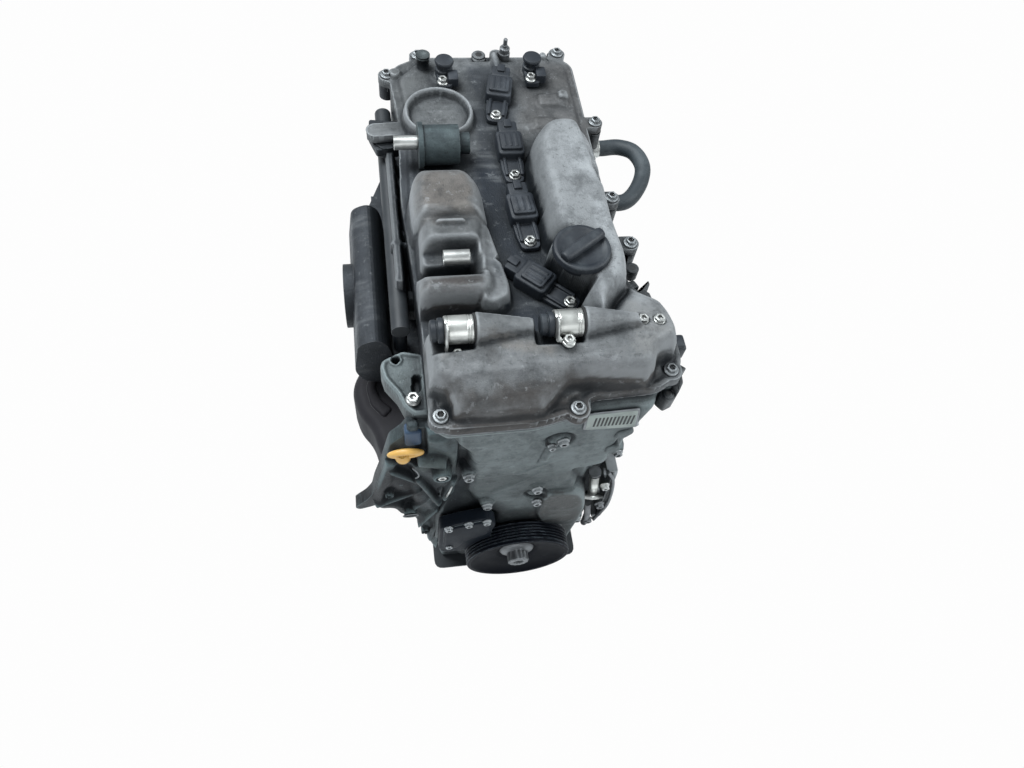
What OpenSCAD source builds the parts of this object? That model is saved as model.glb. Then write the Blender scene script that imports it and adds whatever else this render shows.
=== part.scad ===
// Four-cylinder in-line car engine with two overhead camshafts and a chain drive.
// Frame: the crankshaft's axis is the Y axis, +Y points to the gearbox end, +Z is up,
// and the origin lies on the crankshaft's rear flange, in the plane of the block's rear face.

/* [Cylinders] */
// Diameter of the cylinder bores
bore_d = 80.5; // [76:0.5:82]
// Stroke of the pistons
stroke = 88.3; // [80:0.1:90]
// Distance between neighbouring cylinders
bore_pitch = 87.5; // [87:0.5:92]
// Distance from the rear face to the rear cylinder's axis
rear_bore_gap = 92.5; // [90:0.5:100]
// Distance from the front cylinder's axis to the block's front face
front_bore_gap = 65; // [62:0.5:72]

/* [Pistons and rods] */
// Centre distance of the connecting rods
rod_length = 138; // [136:0.5:146]
// Height of the piston's crown above the wrist pin
pin_height = 24.6; // [22:0.1:30]
// Diameter of the wrist pins
wrist_pin_d = 20; // [16:1:22]
// Gap between the piston's crown at top dead centre and the deck
deck_gap = 0.25; // [0.1:0.05:1]

/* [Crankshaft] */
// Diameter of the crank pins
crank_pin_d = 40; // [38:1:42]
// Diameter of the main journals
main_journal_d = 48; // [44:1:52]
// Length of the main journals and of the crank pins
journal_length = 22; // [20:0.5:24]
// Diameter of the rear flange
flange_d = 84; // [80:1:86]
// Diameter of the circle that the flange bolts lie on
flange_pcd = 64; // [60:1:66]
// Diameter of the tapped holes in the flange
flange_hole_d = 9; // [8:0.5:10]
// Diameter of the pulley
pulley_d = 128; // [110:1:136]
// Width of the pulley's grooved rim
pulley_rim_w = 26; // [22:1:28]

/* [Block and sump] */
// Half width of the crankcase
crankcase_half_w = 98; // [96:1:106]
// Half width of the block at the deck
deck_half_w = 78; // [76:1:86]
// Thickness of the crankcase walls
case_wall = 12; // [8:1:12]
// Depth of the block's skirt below the crankshaft
skirt_depth = 55; // [52:1:60]
// Depth of the oil pan's bottom below the crankshaft
sump_depth = 150; // [146:1:170]
// Height of the lower crankcase
lower_case_h = 57; // [50:1:60]

/* [Head and covers] */
// Thickness of the head gasket
head_gasket_t = 1; // [0.6:0.1:1.5]
// Height of the cylinder head
head_h = 82; // [80:1:90]
// Height of the camshaft housing
cam_housing_h = 45; // [44:1:50]
// Half distance between the two camshafts
cam_half_gap = 48; // [47:0.5:49]
// Height of the cam cover's humps above its joint face
hump_h = 59; // [56:1:64]
// Depth of the chain case in front of the block
chain_case_depth = 65; // [64:1:70]
// Wall thickness of the chain case
chain_case_wall = 6; // [4:0.5:7]
// Tilt of the valves from the cylinder's axis
valve_tilt = 14.5; // [13:0.5:15]

/* [Fittings] */
// Diameter of the oil filler cap
filler_cap_d = 54; // [48:1:58]
// Diameter of the bore in the filler neck
filler_bore_d = 40; // [34:1:42]
// Outer diameter of the rubber hose at the exhaust side
hose_d = 18; // [14:1:20]
// Bore of the rubber hose
hose_bore = 11; // [8:1:12]
// Outer diameter of the two hose nipples
nipple_d = 14; // [12:1:16]
// Diameter of the two solenoids
solenoid_d = 25; // [20:1:26]
// Length of the dipstick's blade below its handle
dipstick_length = 275; // [240:1:290]
// Diameter of the port for the lift actuator's motor
motor_port_d = 64; // [50:1:66]
// Diameter of the throttle port in the intake manifold
throttle_port_d = 52; // [40:1:56]

/* [Hidden] */
$fn = 48;

// Running clearance of shafts, journals and pins, on the radius
run_gap = 0.05;
// Clearance between pieces that pass each other without touching
free_gap = 0.3;
// How far a cutting tool runs past a face
past = 1;

// Heights of the joint faces
deck_z = rod_length + stroke / 2 + pin_height + deck_gap;
head_z = deck_z + head_gasket_t;
cam_housing_z = head_z + head_h;
cover_gasket_z = cam_housing_z + cam_housing_h;
cover_gasket_t = 1.5;
cover_z = cover_gasket_z + cover_gasket_t;
hump_top_z = cover_z + hump_h;
skirt_z = -skirt_depth;
lower_case_z = skirt_z - lower_case_h;
sump_z = -sump_depth;

// Places along the crankshaft; cylinder 0 is the front one
cylinder_count = 4;
function cylinder_y(i) = -rear_bore_gap - (cylinder_count - 1 - i) * bore_pitch;
block_front_y = cylinder_y(0) - front_bore_gap;
case_front_y = block_front_y - chain_case_depth;
function bulkhead_y(i) = cylinder_y(0) + (i - 0.5) * bore_pitch;

// Plan shapes are drawn for this front face and spread along Y to the real one
drawn_front_y = -485;
front_shift = case_front_y - drawn_front_y;
function fore(y) = y * case_front_y / drawn_front_y;
function plan(points) = [for (p = points) [p[0], fore(p[1])]];

// Crank throws: the rest position has every pin level with the axis,
// which is where such an engine stops
throw = stroke / 2;
function throw_side(i) = (i == 0 || i == 3) ? 1 : -1;
rod_angle = asin(throw / rod_length);
wrist_z = rod_length * cos(rod_angle);
wrist_r = wrist_pin_d / 2;
pin_r = crank_pin_d / 2;
journal_r = main_journal_d / 2;
bore_r = bore_d / 2;
flange_r = flange_d / 2;
bulkhead_t = journal_length - 2 * free_gap;

// Camshafts and chain
cam_z = cover_gasket_z - 17;
cam_journal_r = 13.45;
cam_base_r = 15;
cam_nose_r = 6;
cam_lift = 8.5;
cam_reach = cam_base_r + cam_lift;
sprocket_teeth = 36;
cam_sprocket_r = 37;
crank_sprocket_r = cam_sprocket_r / 2;
chain_t = 6;
chain_w = 10;
chain_y = block_front_y - 25;

// A convex or concave outline with each corner rounded off by a parabola, d from the corner
function soft(points, d, steps = 4) = [
    for (i = [0 : len(points) - 1])
        let (corner = points[i],
             before = points[(i + len(points) - 1) % len(points)],
             after = points[(i + 1) % len(points)],
             cut_a = min(d, norm(before - corner) * 0.45),
             cut_b = min(d, norm(after - corner) * 0.45),
             from = corner + (before - corner) / norm(before - corner) * cut_a,
             to = corner + (after - corner) / norm(after - corner) * cut_b)
        for (k = [0 : steps])
            let (t = k / steps)
            from * pow(1 - t, 2) + corner * 2 * t * (1 - t) + to * pow(t, 2)
];

// A rectangle between two corners, as an outline
function rectangle(x0, y0, x1, y1) = [[x0, y0], [x1, y0], [x1, y1], [x0, y1]];

// Points on an arc
function arc(cx, cy, r, from, to, steps) =
    [for (k = [0 : steps]) let (a = from + (to - from) * k / steps) [cx + r * cos(a), cy + r * sin(a)]];

// Solids along each axis, given by their ends
module along_x(x0, x1) translate([x0, 0, 0]) rotate([90, 0, 90]) linear_extrude(x1 - x0) children();
module along_y(y0, y1) translate([0, y1, 0]) rotate([90, 0, 0]) linear_extrude(y1 - y0) children();
module along_z(z0, z1) translate([0, 0, z0]) linear_extrude(z1 - z0) children();
module rod_x(y, z, x0, x1, r) translate([x0, y, z]) rotate([0, 90, 0]) cylinder(r = r, h = x1 - x0);
module rod_y(x, z, y0, y1, r) translate([x, y1, z]) rotate([90, 0, 0]) cylinder(r = r, h = y1 - y0);
module rod_z(x, y, z0, z1, r) translate([x, y, z0]) cylinder(r = r, h = z1 - z0);
module block_of(x0, x1, y0, y1, z0, z1) translate([x0, y0, z0]) cube([x1 - x0, y1 - y0, z1 - z0]);

// A solid of revolution about the crankshaft's axis; profile points are [radius, y]
module turned_y(profile) rotate([-90, 0, 0]) rotate_extrude($fn = 96) polygon(profile);

// ---------------------------------------------------------------- block

main_cap_bolt_x = 40;
main_cap_bolt_r = 5;
head_bolt_x = 47;
head_bolt_r = 5;
jacket_r = bore_r + 13.5;
liner_r = bore_r + 5.5;
jacket_depth = 85;
bay_roof_z = 95;
seal_housing_t = 10;
seal_housing_half_w = 66;
flange_front_y = -seal_housing_t - 12;
bell_bolt_x = 86;
bell_bolt_low_z = -30;
bell_bolt_high_z = 160;
bell_bolt_r = 5.1;

// Section of the block across the crankshaft
block_section = soft([
    [-crankcase_half_w, skirt_z], [crankcase_half_w, skirt_z],
    [crankcase_half_w, 55], [deck_half_w + 10, 95], [deck_half_w + 10, 178],
    [deck_half_w, 186], [deck_half_w, deck_z], [-deck_half_w, deck_z],
    [-deck_half_w, 186], [-deck_half_w - 10, 178], [-deck_half_w - 10, 95],
    [-crankcase_half_w, 55]], 8, 3);

module at_head_bolts() {
    for (i = [0 : cylinder_count], side = [-1, 1]) translate([side * head_bolt_x, bulkhead_y(i), 0]) children();
}

module block_ribs() {
    for (i = [0 : cylinder_count], side = [-1, 1])
        block_of(side > 0 ? deck_half_w + 9 : -deck_half_w - 16, side > 0 ? deck_half_w + 16 : -deck_half_w - 9,
                 bulkhead_y(i) - 4, bulkhead_y(i) + 4, 60, 178);
    for (side = [-1, 1], z = [bell_bolt_low_z, bell_bolt_high_z])
        rod_y(side * bell_bolt_x, z, -24, 0, 13);
}

// Flange that the chain case is bolted to, on the block and the head alike
module at_edge_bolts() for (b = edge_bolts) translate([b[0], 0, b[1]]) children();
module case_joint_flange(z0, z1) {
    intersection() {
        along_y(block_front_y, block_front_y + 16) {
            polygon(case_wide);
            for (b = edge_bolts) translate(b) circle(r = 9);
        }
        block_of(-130, 130, block_front_y, block_front_y + 16, z0, z1);
    }
}

module cylinder_block() color([0.42, 0.44, 0.43]) {
    rear_wall_y = bulkhead_y(cylinder_count) + bulkhead_t / 2;
    difference() {
        union() {
            along_y(block_front_y, 0) polygon(block_section);
            block_ribs();
            case_joint_flange(skirt_z, deck_z);
            // boss that the dipstick tube is pressed into
            at_dipstick() translate([0, 0, -dip_length - 6]) cylinder(r = dip_tube_r + 5, h = 30);
        }
        // bores, crank bays and water jacket
        for (i = [0 : cylinder_count - 1]) {
            rod_z(0, cylinder_y(i), bay_roof_z - past, deck_z + past, bore_r);
            block_of(-crankcase_half_w + case_wall, crankcase_half_w - case_wall,
                     bulkhead_y(i) + bulkhead_t / 2, bulkhead_y(i + 1) - bulkhead_t / 2, -past, bay_roof_z);
        }
        difference() {
            union() for (i = [0 : cylinder_count - 1])
                rod_z(0, cylinder_y(i), deck_z - jacket_depth, deck_z + past, jacket_r);
            union() for (i = [0 : cylinder_count - 1])
                rod_z(0, cylinder_y(i), deck_z - jacket_depth - past, deck_z + 2 * past, liner_r);
        }
        // open skirt, main bearings, rear seal
        block_of(-crankcase_half_w + case_wall, crankcase_half_w - case_wall,
                 block_front_y - past, rear_wall_y, skirt_z - past, 0);
        rod_y(0, 0, block_front_y - past, rear_wall_y + past, journal_r + run_gap);
        rod_y(0, 0, rear_wall_y, past, flange_r + free_gap);
        block_of(-seal_housing_half_w, seal_housing_half_w, -seal_housing_t, past,
                 skirt_z - past, seal_housing_half_w);
        // tapped holes
        at_edge_bolts() rod_y(0, 0, block_front_y - past, block_front_y + 14, case_bolt_r + run_gap);
        dipstick_way();
        at_head_bolts() rod_z(0, 0, deck_z - 75, deck_z + past, head_bolt_r + run_gap);
        for (i = [0 : cylinder_count], side = [-1, 1])
            rod_z(side * main_cap_bolt_x, bulkhead_y(i), -past, 42, main_cap_bolt_r + run_gap);
        for (side = [-1, 1], z = [bell_bolt_low_z, bell_bolt_high_z])
            rod_y(side * bell_bolt_x, z, -22, past, bell_bolt_r);
    }
}

main_cap_half_w = 54;
main_cap_h = 46;

module main_bearing_caps() color([0.32, 0.32, 0.33]) {
    for (i = [0 : cylinder_count]) difference() {
        along_y(bulkhead_y(i) - bulkhead_t / 2, bulkhead_y(i) + bulkhead_t / 2)
            polygon(soft([[-main_cap_half_w, -main_cap_h], [main_cap_half_w, -main_cap_h],
                          [main_cap_half_w, 0], [-main_cap_half_w, 0]], 6, 3));
        rod_y(0, 0, bulkhead_y(i) - bulkhead_t, bulkhead_y(i) + bulkhead_t, journal_r + run_gap);
        for (side = [-1, 1])
            rod_z(side * main_cap_bolt_x, bulkhead_y(i), -main_cap_h - past, past, main_cap_bolt_r + run_gap);
    }
}

// A hexagon bolt standing head down at the origin, its shank pointing up
module bolt_up(shank_r, length, head_r, head_t) {
    cylinder(r = shank_r, h = length);
    translate([0, 0, -head_t]) cylinder(r = head_r, h = head_t, $fn = 6);
}

module main_cap_bolts() color([0.3, 0.3, 0.3]) {
    for (i = [0 : cylinder_count], side = [-1, 1])
        translate([side * main_cap_bolt_x, bulkhead_y(i), -main_cap_h])
            bolt_up(main_cap_bolt_r, main_cap_h + 38, 8, 7);
}

module lower_crankcase() color([0.42, 0.44, 0.43]) {
    inner_w = crankcase_half_w - case_wall;
    difference() {
        union() {
            block_of(-crankcase_half_w, crankcase_half_w, block_front_y, 0, lower_case_z, skirt_z);
            for (i = [0 : cylinder_count], side = [-1, 1])
                block_of(side > 0 ? crankcase_half_w - past : -crankcase_half_w - 5,
                         side > 0 ? crankcase_half_w + 5 : -crankcase_half_w + past,
                         bulkhead_y(i) - 4, bulkhead_y(i) + 4, lower_case_z, skirt_z);
        }
        block_of(-inner_w, inner_w, block_front_y + case_wall, -case_wall, lower_case_z - past, skirt_z + past);
        rod_y(pickup_x, pickup_z, block_front_y - past, block_front_y + case_wall + past, pickup_r + free_gap);
    }
}

pan_t = 2;
pan_side_inset = 16;
pan_end_inset = 30;
pickup_x = 57;
pickup_z = -80;
pickup_r = 8;
drain_y = -120;
drain_z = sump_z + 16;
drain_r = 7;

module oil_pan() color([0.12, 0.12, 0.13]) {
    well = rectangle(-crankcase_half_w + pan_side_inset, case_front_y + pan_end_inset,
                     crankcase_half_w - pan_side_inset, -pan_end_inset);
    well_inside = rectangle(-crankcase_half_w + pan_side_inset + pan_t, case_front_y + pan_end_inset + pan_t,
                            crankcase_half_w - pan_side_inset - pan_t, -pan_end_inset - pan_t);
    difference() {
        union() {
            along_z(lower_case_z - pan_t, lower_case_z)
                polygon(soft(rectangle(-crankcase_half_w, case_front_y + 3, crankcase_half_w, 0), 12, 4));
            along_z(sump_z, lower_case_z - pan_t) polygon(soft(well, 24, 6));
            rod_x(drain_y, drain_z, crankcase_half_w - pan_side_inset - 4,
                  crankcase_half_w - pan_side_inset + 3, 13);
        }
        along_z(sump_z + pan_t, lower_case_z + past) polygon(soft(well_inside, 22, 6));
        rod_x(drain_y, drain_z, crankcase_half_w - pan_side_inset - 6, crankcase_half_w - pan_side_inset + 5,
              drain_r + run_gap);
    }
}

module drain_plug() color([0.6, 0.6, 0.58]) {
    seat_x = crankcase_half_w - pan_side_inset + 3;
    rod_x(drain_y, drain_z, seat_x - 12, seat_x, drain_r);
    rod_x(drain_y, drain_z, seat_x, seat_x + 2, 11);
    translate([seat_x + 2, drain_y, drain_z]) rotate([0, 90, 0]) cylinder(r = 9.5, h = 8, $fn = 6);
}

// ---------------------------------------------------------------- crank train

snout_r = 14;
hub_r = 24;
seal_t = 8;
front_seal_r = 31;
pulley_front_y = case_front_y - 29;
sprocket_w = 14;

// Outline of a crank web: a round end over the pin and a counterweight opposite, pin towards +X
web_points = concat(arc(throw, 0, 28, -75, 75, 8), arc(0, 0, 60, 122, 238, 10));

module crank_web(y0, y1, side) {
    along_y(y0, y1) rotate([0, 0, side > 0 ? 0 : 180]) polygon(web_points);
}

module crankshaft() color([0.4, 0.4, 0.41]) {
    half = journal_length / 2;
    rear_y = bulkhead_y(cylinder_count);
    difference() {
        union() {
            for (i = [0 : cylinder_count]) rod_y(0, 0, bulkhead_y(i) - half, bulkhead_y(i) + half, journal_r);
            for (i = [0 : cylinder_count - 1]) {
                rod_y(throw_side(i) * throw, 0, cylinder_y(i) - half, cylinder_y(i) + half, pin_r);
                crank_web(bulkhead_y(i) + half, cylinder_y(i) - half, throw_side(i));
                crank_web(cylinder_y(i) + half, bulkhead_y(i + 1) - half, throw_side(i));
            }
            rod_y(0, 0, rear_y + half, flange_front_y, 32);
            rod_y(0, 0, flange_front_y, 0, flange_r);
            rod_y(0, 0, pulley_front_y + 14, bulkhead_y(0) - half, snout_r);
        }
        for (k = [0 : 7]) rotate([0, k * 45, 0]) rod_y(flange_pcd / 2, 0, -18, past, flange_hole_d / 2);
        rod_y(0, 0, -12, past, 15);
        rod_y(0, 0, pulley_front_y + 14 - past, pulley_front_y + 60, 6 + run_gap);
    }
}

// Outline of a toothed wheel with pointed teeth
function toothed(teeth, root_r, tip_r) = [
    for (k = [0 : teeth - 1], step = [[0, tip_r], [0.25, root_r], [0.75, root_r]])
        let (a = (k + step[0]) * 360 / teeth) [step[1] * cos(a), step[1] * sin(a)]
];

module crank_sprocket() color([0.35, 0.35, 0.35]) {
    difference() {
        union() {
            along_y(chain_y - 4, chain_y + 4)
                polygon(toothed(sprocket_teeth / 2, crank_sprocket_r - 3, crank_sprocket_r));
            rod_y(0, 0, chain_y - sprocket_w, block_front_y - free_gap, crank_sprocket_r - 2.5);
        }
        rod_y(0, 0, chain_y - 2 * sprocket_w, block_front_y, snout_r + 0.02);
    }
}

module crank_pulley() color([0.08, 0.08, 0.09]) {
    rim_r = pulley_d / 2;
    groove = pulley_rim_w / 7;
    front = pulley_front_y;
    back = front + pulley_rim_w;
    grooves = [for (k = [0 : 4], p = [[rim_r, 0.1], [rim_r - 3.2, 0.5], [rim_r, 0.9]])
               [p[0], front + groove * (1 + k + p[1])]];
    turned_y(concat(
        [[snout_r + 0.02, front + 14], [hub_r - 4, front + 14], [hub_r, front + 12], [rim_r - 12, front + 16],
         [rim_r - 8, front + 4], [rim_r - 6, front], [rim_r - 1.5, front], [rim_r, front + 1.5]],
        grooves,
        [[rim_r, back], [rim_r - 10, back], [rim_r - 12, front + 22], [hub_r, front + 22],
         [hub_r, chain_y - sprocket_w - 0.1], [snout_r + 0.02, chain_y - sprocket_w - 0.1]]));
}

module pulley_bolt() color([0.3, 0.31, 0.32]) {
    seat = pulley_front_y + 14;
    rod_y(0, 0, seat - 5, seat, 19);
    translate([0, seat - 5, 0]) rotate([90, 0, 0]) cylinder(r = 12.7, h = 13, $fn = 6);
    rod_y(0, 0, seat, seat + 42, 6);
}

module crank_seals() color([0.1, 0.1, 0.1]) {
    difference() {
        rod_y(0, 0, case_front_y, case_front_y + seal_t, front_seal_r);
        rod_y(0, 0, case_front_y - past, case_front_y + seal_t + past, hub_r + run_gap);
    }
    difference() {
        rod_y(0, 0, -seal_housing_t + 1, -1, flange_r + 10);
        rod_y(0, 0, -seal_housing_t, 0, flange_r + run_gap);
    }
}

module rear_seal_housing() color([0.45, 0.47, 0.46]) {
    difference() {
        block_of(-seal_housing_half_w, seal_housing_half_w, -seal_housing_t, 0, skirt_z, seal_housing_half_w);
        rod_y(0, 0, -seal_housing_t - past, past, flange_r + 10);
    }
}

piston_r = bore_r - 0.04;
ring_lands = [5, 10, 15];
ring_t = 1.6;
ring_root_r = piston_r - 4;

module pistons() color([0.7, 0.7, 0.7]) {
    for (i = [0 : cylinder_count - 1]) translate([0, cylinder_y(i), wrist_z]) difference() {
        union() {
            difference() {
                rod_z(0, 0, -28, pin_height, piston_r);
                rod_z(0, 0, -28 - past, pin_height - 9, piston_r - 5);
            }
            for (side = [-1, 1]) intersection() {
                block_of(-15, 15, side > 0 ? 11 : -36, side > 0 ? 36 : -11, -15, pin_height - 8);
                rod_z(0, 0, -28, pin_height, piston_r - 4);
            }
        }
        rod_y(0, 0, -30, 30, wrist_r + 0.02);
        for (land = ring_lands) difference() {
            rod_z(0, 0, pin_height - land, pin_height - land + ring_t, bore_r + past);
            rod_z(0, 0, pin_height - land - past, pin_height - land + ring_t + past, ring_root_r);
        }
    }
}

module piston_rings() color([0.3, 0.3, 0.32]) {
    for (i = [0 : cylinder_count - 1], land = ring_lands)
        translate([0, cylinder_y(i), wrist_z + pin_height - land]) difference() {
            rod_z(0, 0, 0.02, ring_t - 0.02, bore_r - 0.01);
            rod_z(0, 0, -past, ring_t + past, ring_root_r + 0.02);
        }
}

module wrist_pins() color([0.6, 0.6, 0.6]) {
    for (i = [0 : cylinder_count - 1]) rod_y(0, wrist_z, cylinder_y(i) - 29, cylinder_y(i) + 29, wrist_r);
}

module oil_pump() color([0.5, 0.52, 0.5]) {
    difference() {
        union() {
            along_y(block_front_y - 26, block_front_y) polygon(soft(rectangle(26, -104, 78, -46), 12, 4));
            rod_y(pickup_x, -72, block_front_y - 30, block_front_y - 26, 20);
        }
        rod_y(pickup_x, pickup_z, block_front_y - 12, block_front_y + past, pickup_r + run_gap);
    }
}

module oil_pickup() color([0.5, 0.5, 0.48]) {
    strainer_y = cylinder_y(0) + 20;
    rod_y(pickup_x, pickup_z, block_front_y - 12, strainer_y, pickup_r);
    rod_z(pickup_x, strainer_y, sump_z + 14, pickup_z + pickup_r, pickup_r);
    rod_z(pickup_x - 12, strainer_y, sump_z + pan_t + 3, sump_z + 14, 26);
}

// ---------------------------------------------------------------- head and valve gear

head_rear_y = -14;
head_half_w = 88;
well_half_w = 18;
well_r = 12;
trough_floor_z = head_z + 50;
trough_out_x = 80;
chamber_r = bore_r - 2;
valve_x = 18;
valve_y = 17.5;
valve_base_z = head_z + 5;
valve_stem_r = 3;
intake_valve_r = 12.9;
exhaust_valve_r = 12.5;
port_z = head_z + 30;
port_h = 26;
port_w = 56;
adjuster_x = cam_half_gap + 14;
adjuster_r = 6;
roller_r = 7;
rocker_top_z = cam_z - cam_reach - 0.5;
plug_seat_z = head_z + 32;
plug_thread_r = 6;
valve_tip_t = (rocker_top_z - 12.8 - valve_base_z) / cos(valve_tilt);
exhaust_stud_y = 150;
exhaust_stud_z = 44;
exhaust_stud_r = 4;
cylinder_mid_y = (cylinder_y(0) + cylinder_y(cylinder_count - 1)) / 2;

// Places every valve of one side; side is -1 for intake and 1 for exhaust
module at_valves(side) {
    for (i = [0 : cylinder_count - 1], dy = [-valve_y, valve_y])
        translate([side * valve_x, cylinder_y(i) + dy, valve_base_z])
            rotate([0, side * valve_tilt, 0]) children();
}

module port_tool(side, i) {
    depth = head_half_w + past;
    along_x(side > 0 ? 24 : -depth, side > 0 ? depth : -24)
        translate([cylinder_y(i), port_z])
            polygon(soft(rectangle(-port_w / 2, -port_h / 2, port_w / 2, port_h / 2), 11, 4));
}

module cylinder_head() color([0.5, 0.51, 0.5]) {
    difference() {
        union() {
            block_of(-head_half_w, head_half_w, block_front_y, head_rear_y, head_z, cam_housing_z);
            case_joint_flange(head_z, cam_housing_z);
        }
        at_edge_bolts() rod_y(0, 0, block_front_y - past, block_front_y + 14, case_bolt_r + run_gap);
        for (i = [0 : cylinder_count - 1]) {
            // pent-roof chamber
            intersection() {
                rod_z(0, cylinder_y(i), head_z - past, head_z + 20, chamber_r);
                along_y(cylinder_y(i) - chamber_r - 1, cylinder_y(i) + chamber_r + 1)
                    polygon([[-chamber_r - 1, head_z - past], [chamber_r + 1, head_z - past],
                             [chamber_r + 1, roof_z(chamber_r + 1)], [0, roof_z(0)],
                             [-chamber_r - 1, roof_z(chamber_r + 1)]]);
            }
            rod_z(0, cylinder_y(i), plug_seat_z, cam_housing_z + past, well_r);
            rod_z(0, cylinder_y(i), head_z + 2, plug_seat_z + past, plug_thread_r + run_gap);
            port_tool(1, i);
            port_tool(-1, i);
        }
        // valve throats, guides and the two troughs under the camshafts
        for (side = [-1, 1]) {
            at_valves(side) {
                translate([0, 0, 1])
                    cylinder(r = side < 0 ? intake_valve_r - 1.5 : exhaust_valve_r - 1.5, h = 24);
                cylinder(r = valve_stem_r + run_gap, h = 60);
            }
            block_of(side > 0 ? well_half_w + 4 : -trough_out_x, side > 0 ? trough_out_x : -well_half_w - 4,
                     bulkhead_y(0) + 12, bulkhead_y(cylinder_count) - 12, trough_floor_z, cam_housing_z + past);
        }
        at_head_bolts() {
            rod_z(0, 0, head_z - past, trough_floor_z + past, head_bolt_r + run_gap);
            rod_z(0, 0, trough_floor_z - 2, cam_housing_z + past, 11);
        }
        for (dy = [-1, 1], dz = [-1, 1])
            rod_x(cylinder_mid_y + dy * exhaust_stud_y, port_z + dz * exhaust_stud_z / 2,
                  head_half_w - 7, head_half_w + past, exhaust_stud_r);
    }
}

// Height of the chamber roof, x away from the cylinder's axis; the valve heads lie in it
function roof_z(x) = valve_base_z + 3 / cos(valve_tilt) - (x - valve_x) * tan(valve_tilt);

module head_gasket() color([0.25, 0.26, 0.28]) {
    difference() {
        block_of(-deck_half_w, deck_half_w, block_front_y, head_rear_y, deck_z, head_z);
        for (i = [0 : cylinder_count - 1]) rod_z(0, cylinder_y(i), deck_z - past, head_z + past, bore_r + 1);
        at_head_bolts() rod_z(0, 0, deck_z - past, head_z + past, head_bolt_r + 0.5);
    }
}

module head_bolts() color([0.25, 0.25, 0.26]) {
    at_head_bolts() {
        rod_z(0, 0, deck_z - 70, trough_floor_z - 2, head_bolt_r);
        translate([0, 0, trough_floor_z - 2]) cylinder(r = 10, h = 3);
        translate([0, 0, trough_floor_z + 1]) cylinder(r = 8, h = 9, $fn = 6);
    }
}

module spark_plugs() color([0.85, 0.85, 0.82]) {
    for (i = [0 : cylinder_count - 1]) translate([0, cylinder_y(i), 0]) {
        rod_z(0, 0, head_z + 10, plug_seat_z, plug_thread_r);
        translate([0, 0, plug_seat_z]) cylinder(r = 9.2, h = 12, $fn = 6);
        rod_z(0, 0, plug_seat_z + 12, plug_seat_z + 40, 5);
    }
}

module valve(head_r) {
    rotate_extrude() polygon([[0, 0], [head_r, 0], [head_r, 1.6], [head_r - 1.6, 3], [head_r * 0.4, 6],
                              [valve_stem_r, 12], [valve_stem_r, valve_tip_t - 8], [9, valve_tip_t - 8],
                              [9, valve_tip_t - 5], [valve_stem_r, valve_tip_t - 5],
                              [valve_stem_r, valve_tip_t], [0, valve_tip_t]]);
}

module intake_valves() color([0.5, 0.5, 0.5]) { at_valves(-1) valve(intake_valve_r); }
module exhaust_valves() color([0.45, 0.4, 0.36]) { at_valves(1) valve(exhaust_valve_r); }

module valve_springs() color([0.3, 0.3, 0.3]) {
    foot_t = (trough_floor_z + 2.6 - valve_base_z) / cos(valve_tilt);
    for (side = [-1, 1]) at_valves(side) rotate_extrude() difference() {
        translate([6, foot_t]) square([2.6, valve_tip_t - 8 - foot_t]);
        for (k = [0 : 4])
            translate([9.2, foot_t + (k + 0.5) * (valve_tip_t - 8 - foot_t) / 5]) circle(r = 1.4, $fn = 16);
    }
}

module rocker_arms() color([0.4, 0.4, 0.42]) {
    for (side = [-1, 1], i = [0 : cylinder_count - 1], dy = [-valve_y, valve_y])
        translate([0, cylinder_y(i) + dy, 0]) mirror([side < 0 ? 1 : 0, 0, 0]) {
            along_y(-4, 4) polygon(soft([[30, rocker_top_z - 11.7], [adjuster_x + 8, rocker_top_z - 11.7],
                                         [adjuster_x + 8, rocker_top_z - 7], [30, rocker_top_z - 7]], 3, 2));
            rod_y(cam_half_gap, rocker_top_z - roller_r, -4, 4, roller_r);
            rod_z(adjuster_x, 0, trough_floor_z, rocker_top_z - 12, adjuster_r);
        }
}

// ---------------------------------------------------------------- camshafts and chain drive

cam_rear_y = -26;
lobe_w = 12;
phaser_front_y = block_front_y - 38;

// Outline of a cam lobe with its nose towards +X: base arc, nose arc and the flats between
function lobe_points() =
    let (gap = cam_reach - cam_nose_r, a = acos((cam_base_r - cam_nose_r) / gap))
    concat(arc(gap, 0, cam_nose_r, -a, a, 5), arc(0, 0, cam_base_r, a, 360 - a, 16));

module camshaft(first_lobe) {
    order = [0, 270, 90, 180];
    translate([0, 0, cam_z]) {
        rod_y(0, 0, phaser_front_y - 2, cam_rear_y, 11);
        for (i = [0 : cylinder_count])
            rod_y(0, 0, max(bulkhead_y(i) - 12, block_front_y), min(bulkhead_y(i) + 12, cam_rear_y),
                  cam_journal_r);
        for (i = [0 : cylinder_count - 1], dy = [-valve_y, valve_y])
            translate([0, cylinder_y(i) + dy, 0]) rotate([0, first_lobe + order[i], 0])
                along_y(-lobe_w / 2, lobe_w / 2) polygon(lobe_points());
    }
}

module intake_camshaft() color([0.38, 0.38, 0.38]) { translate([-cam_half_gap, 0, 0]) camshaft(-40); }
module exhaust_camshaft() color([0.38, 0.38, 0.38]) { translate([cam_half_gap, 0, 0]) camshaft(-130); }

module cam_sprocket() {
    difference() {
        union() {
            along_y(chain_y - 4, chain_y + 4)
                polygon(toothed(sprocket_teeth, cam_sprocket_r - 3, cam_sprocket_r));
            rod_y(0, 0, phaser_front_y, chain_y + 10, cam_sprocket_r - 4);
            rod_y(0, 0, chain_y + 10, block_front_y - free_gap, 20);
        }
        rod_y(0, 0, phaser_front_y - past, block_front_y, 11 + 0.02);
    }
}

module intake_cam_sprocket() color([0.45, 0.45, 0.46]) { translate([-cam_half_gap, 0, cam_z]) cam_sprocket(); }
module exhaust_cam_sprocket() color([0.45, 0.45, 0.46]) { translate([cam_half_gap, 0, cam_z]) cam_sprocket(); }

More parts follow.
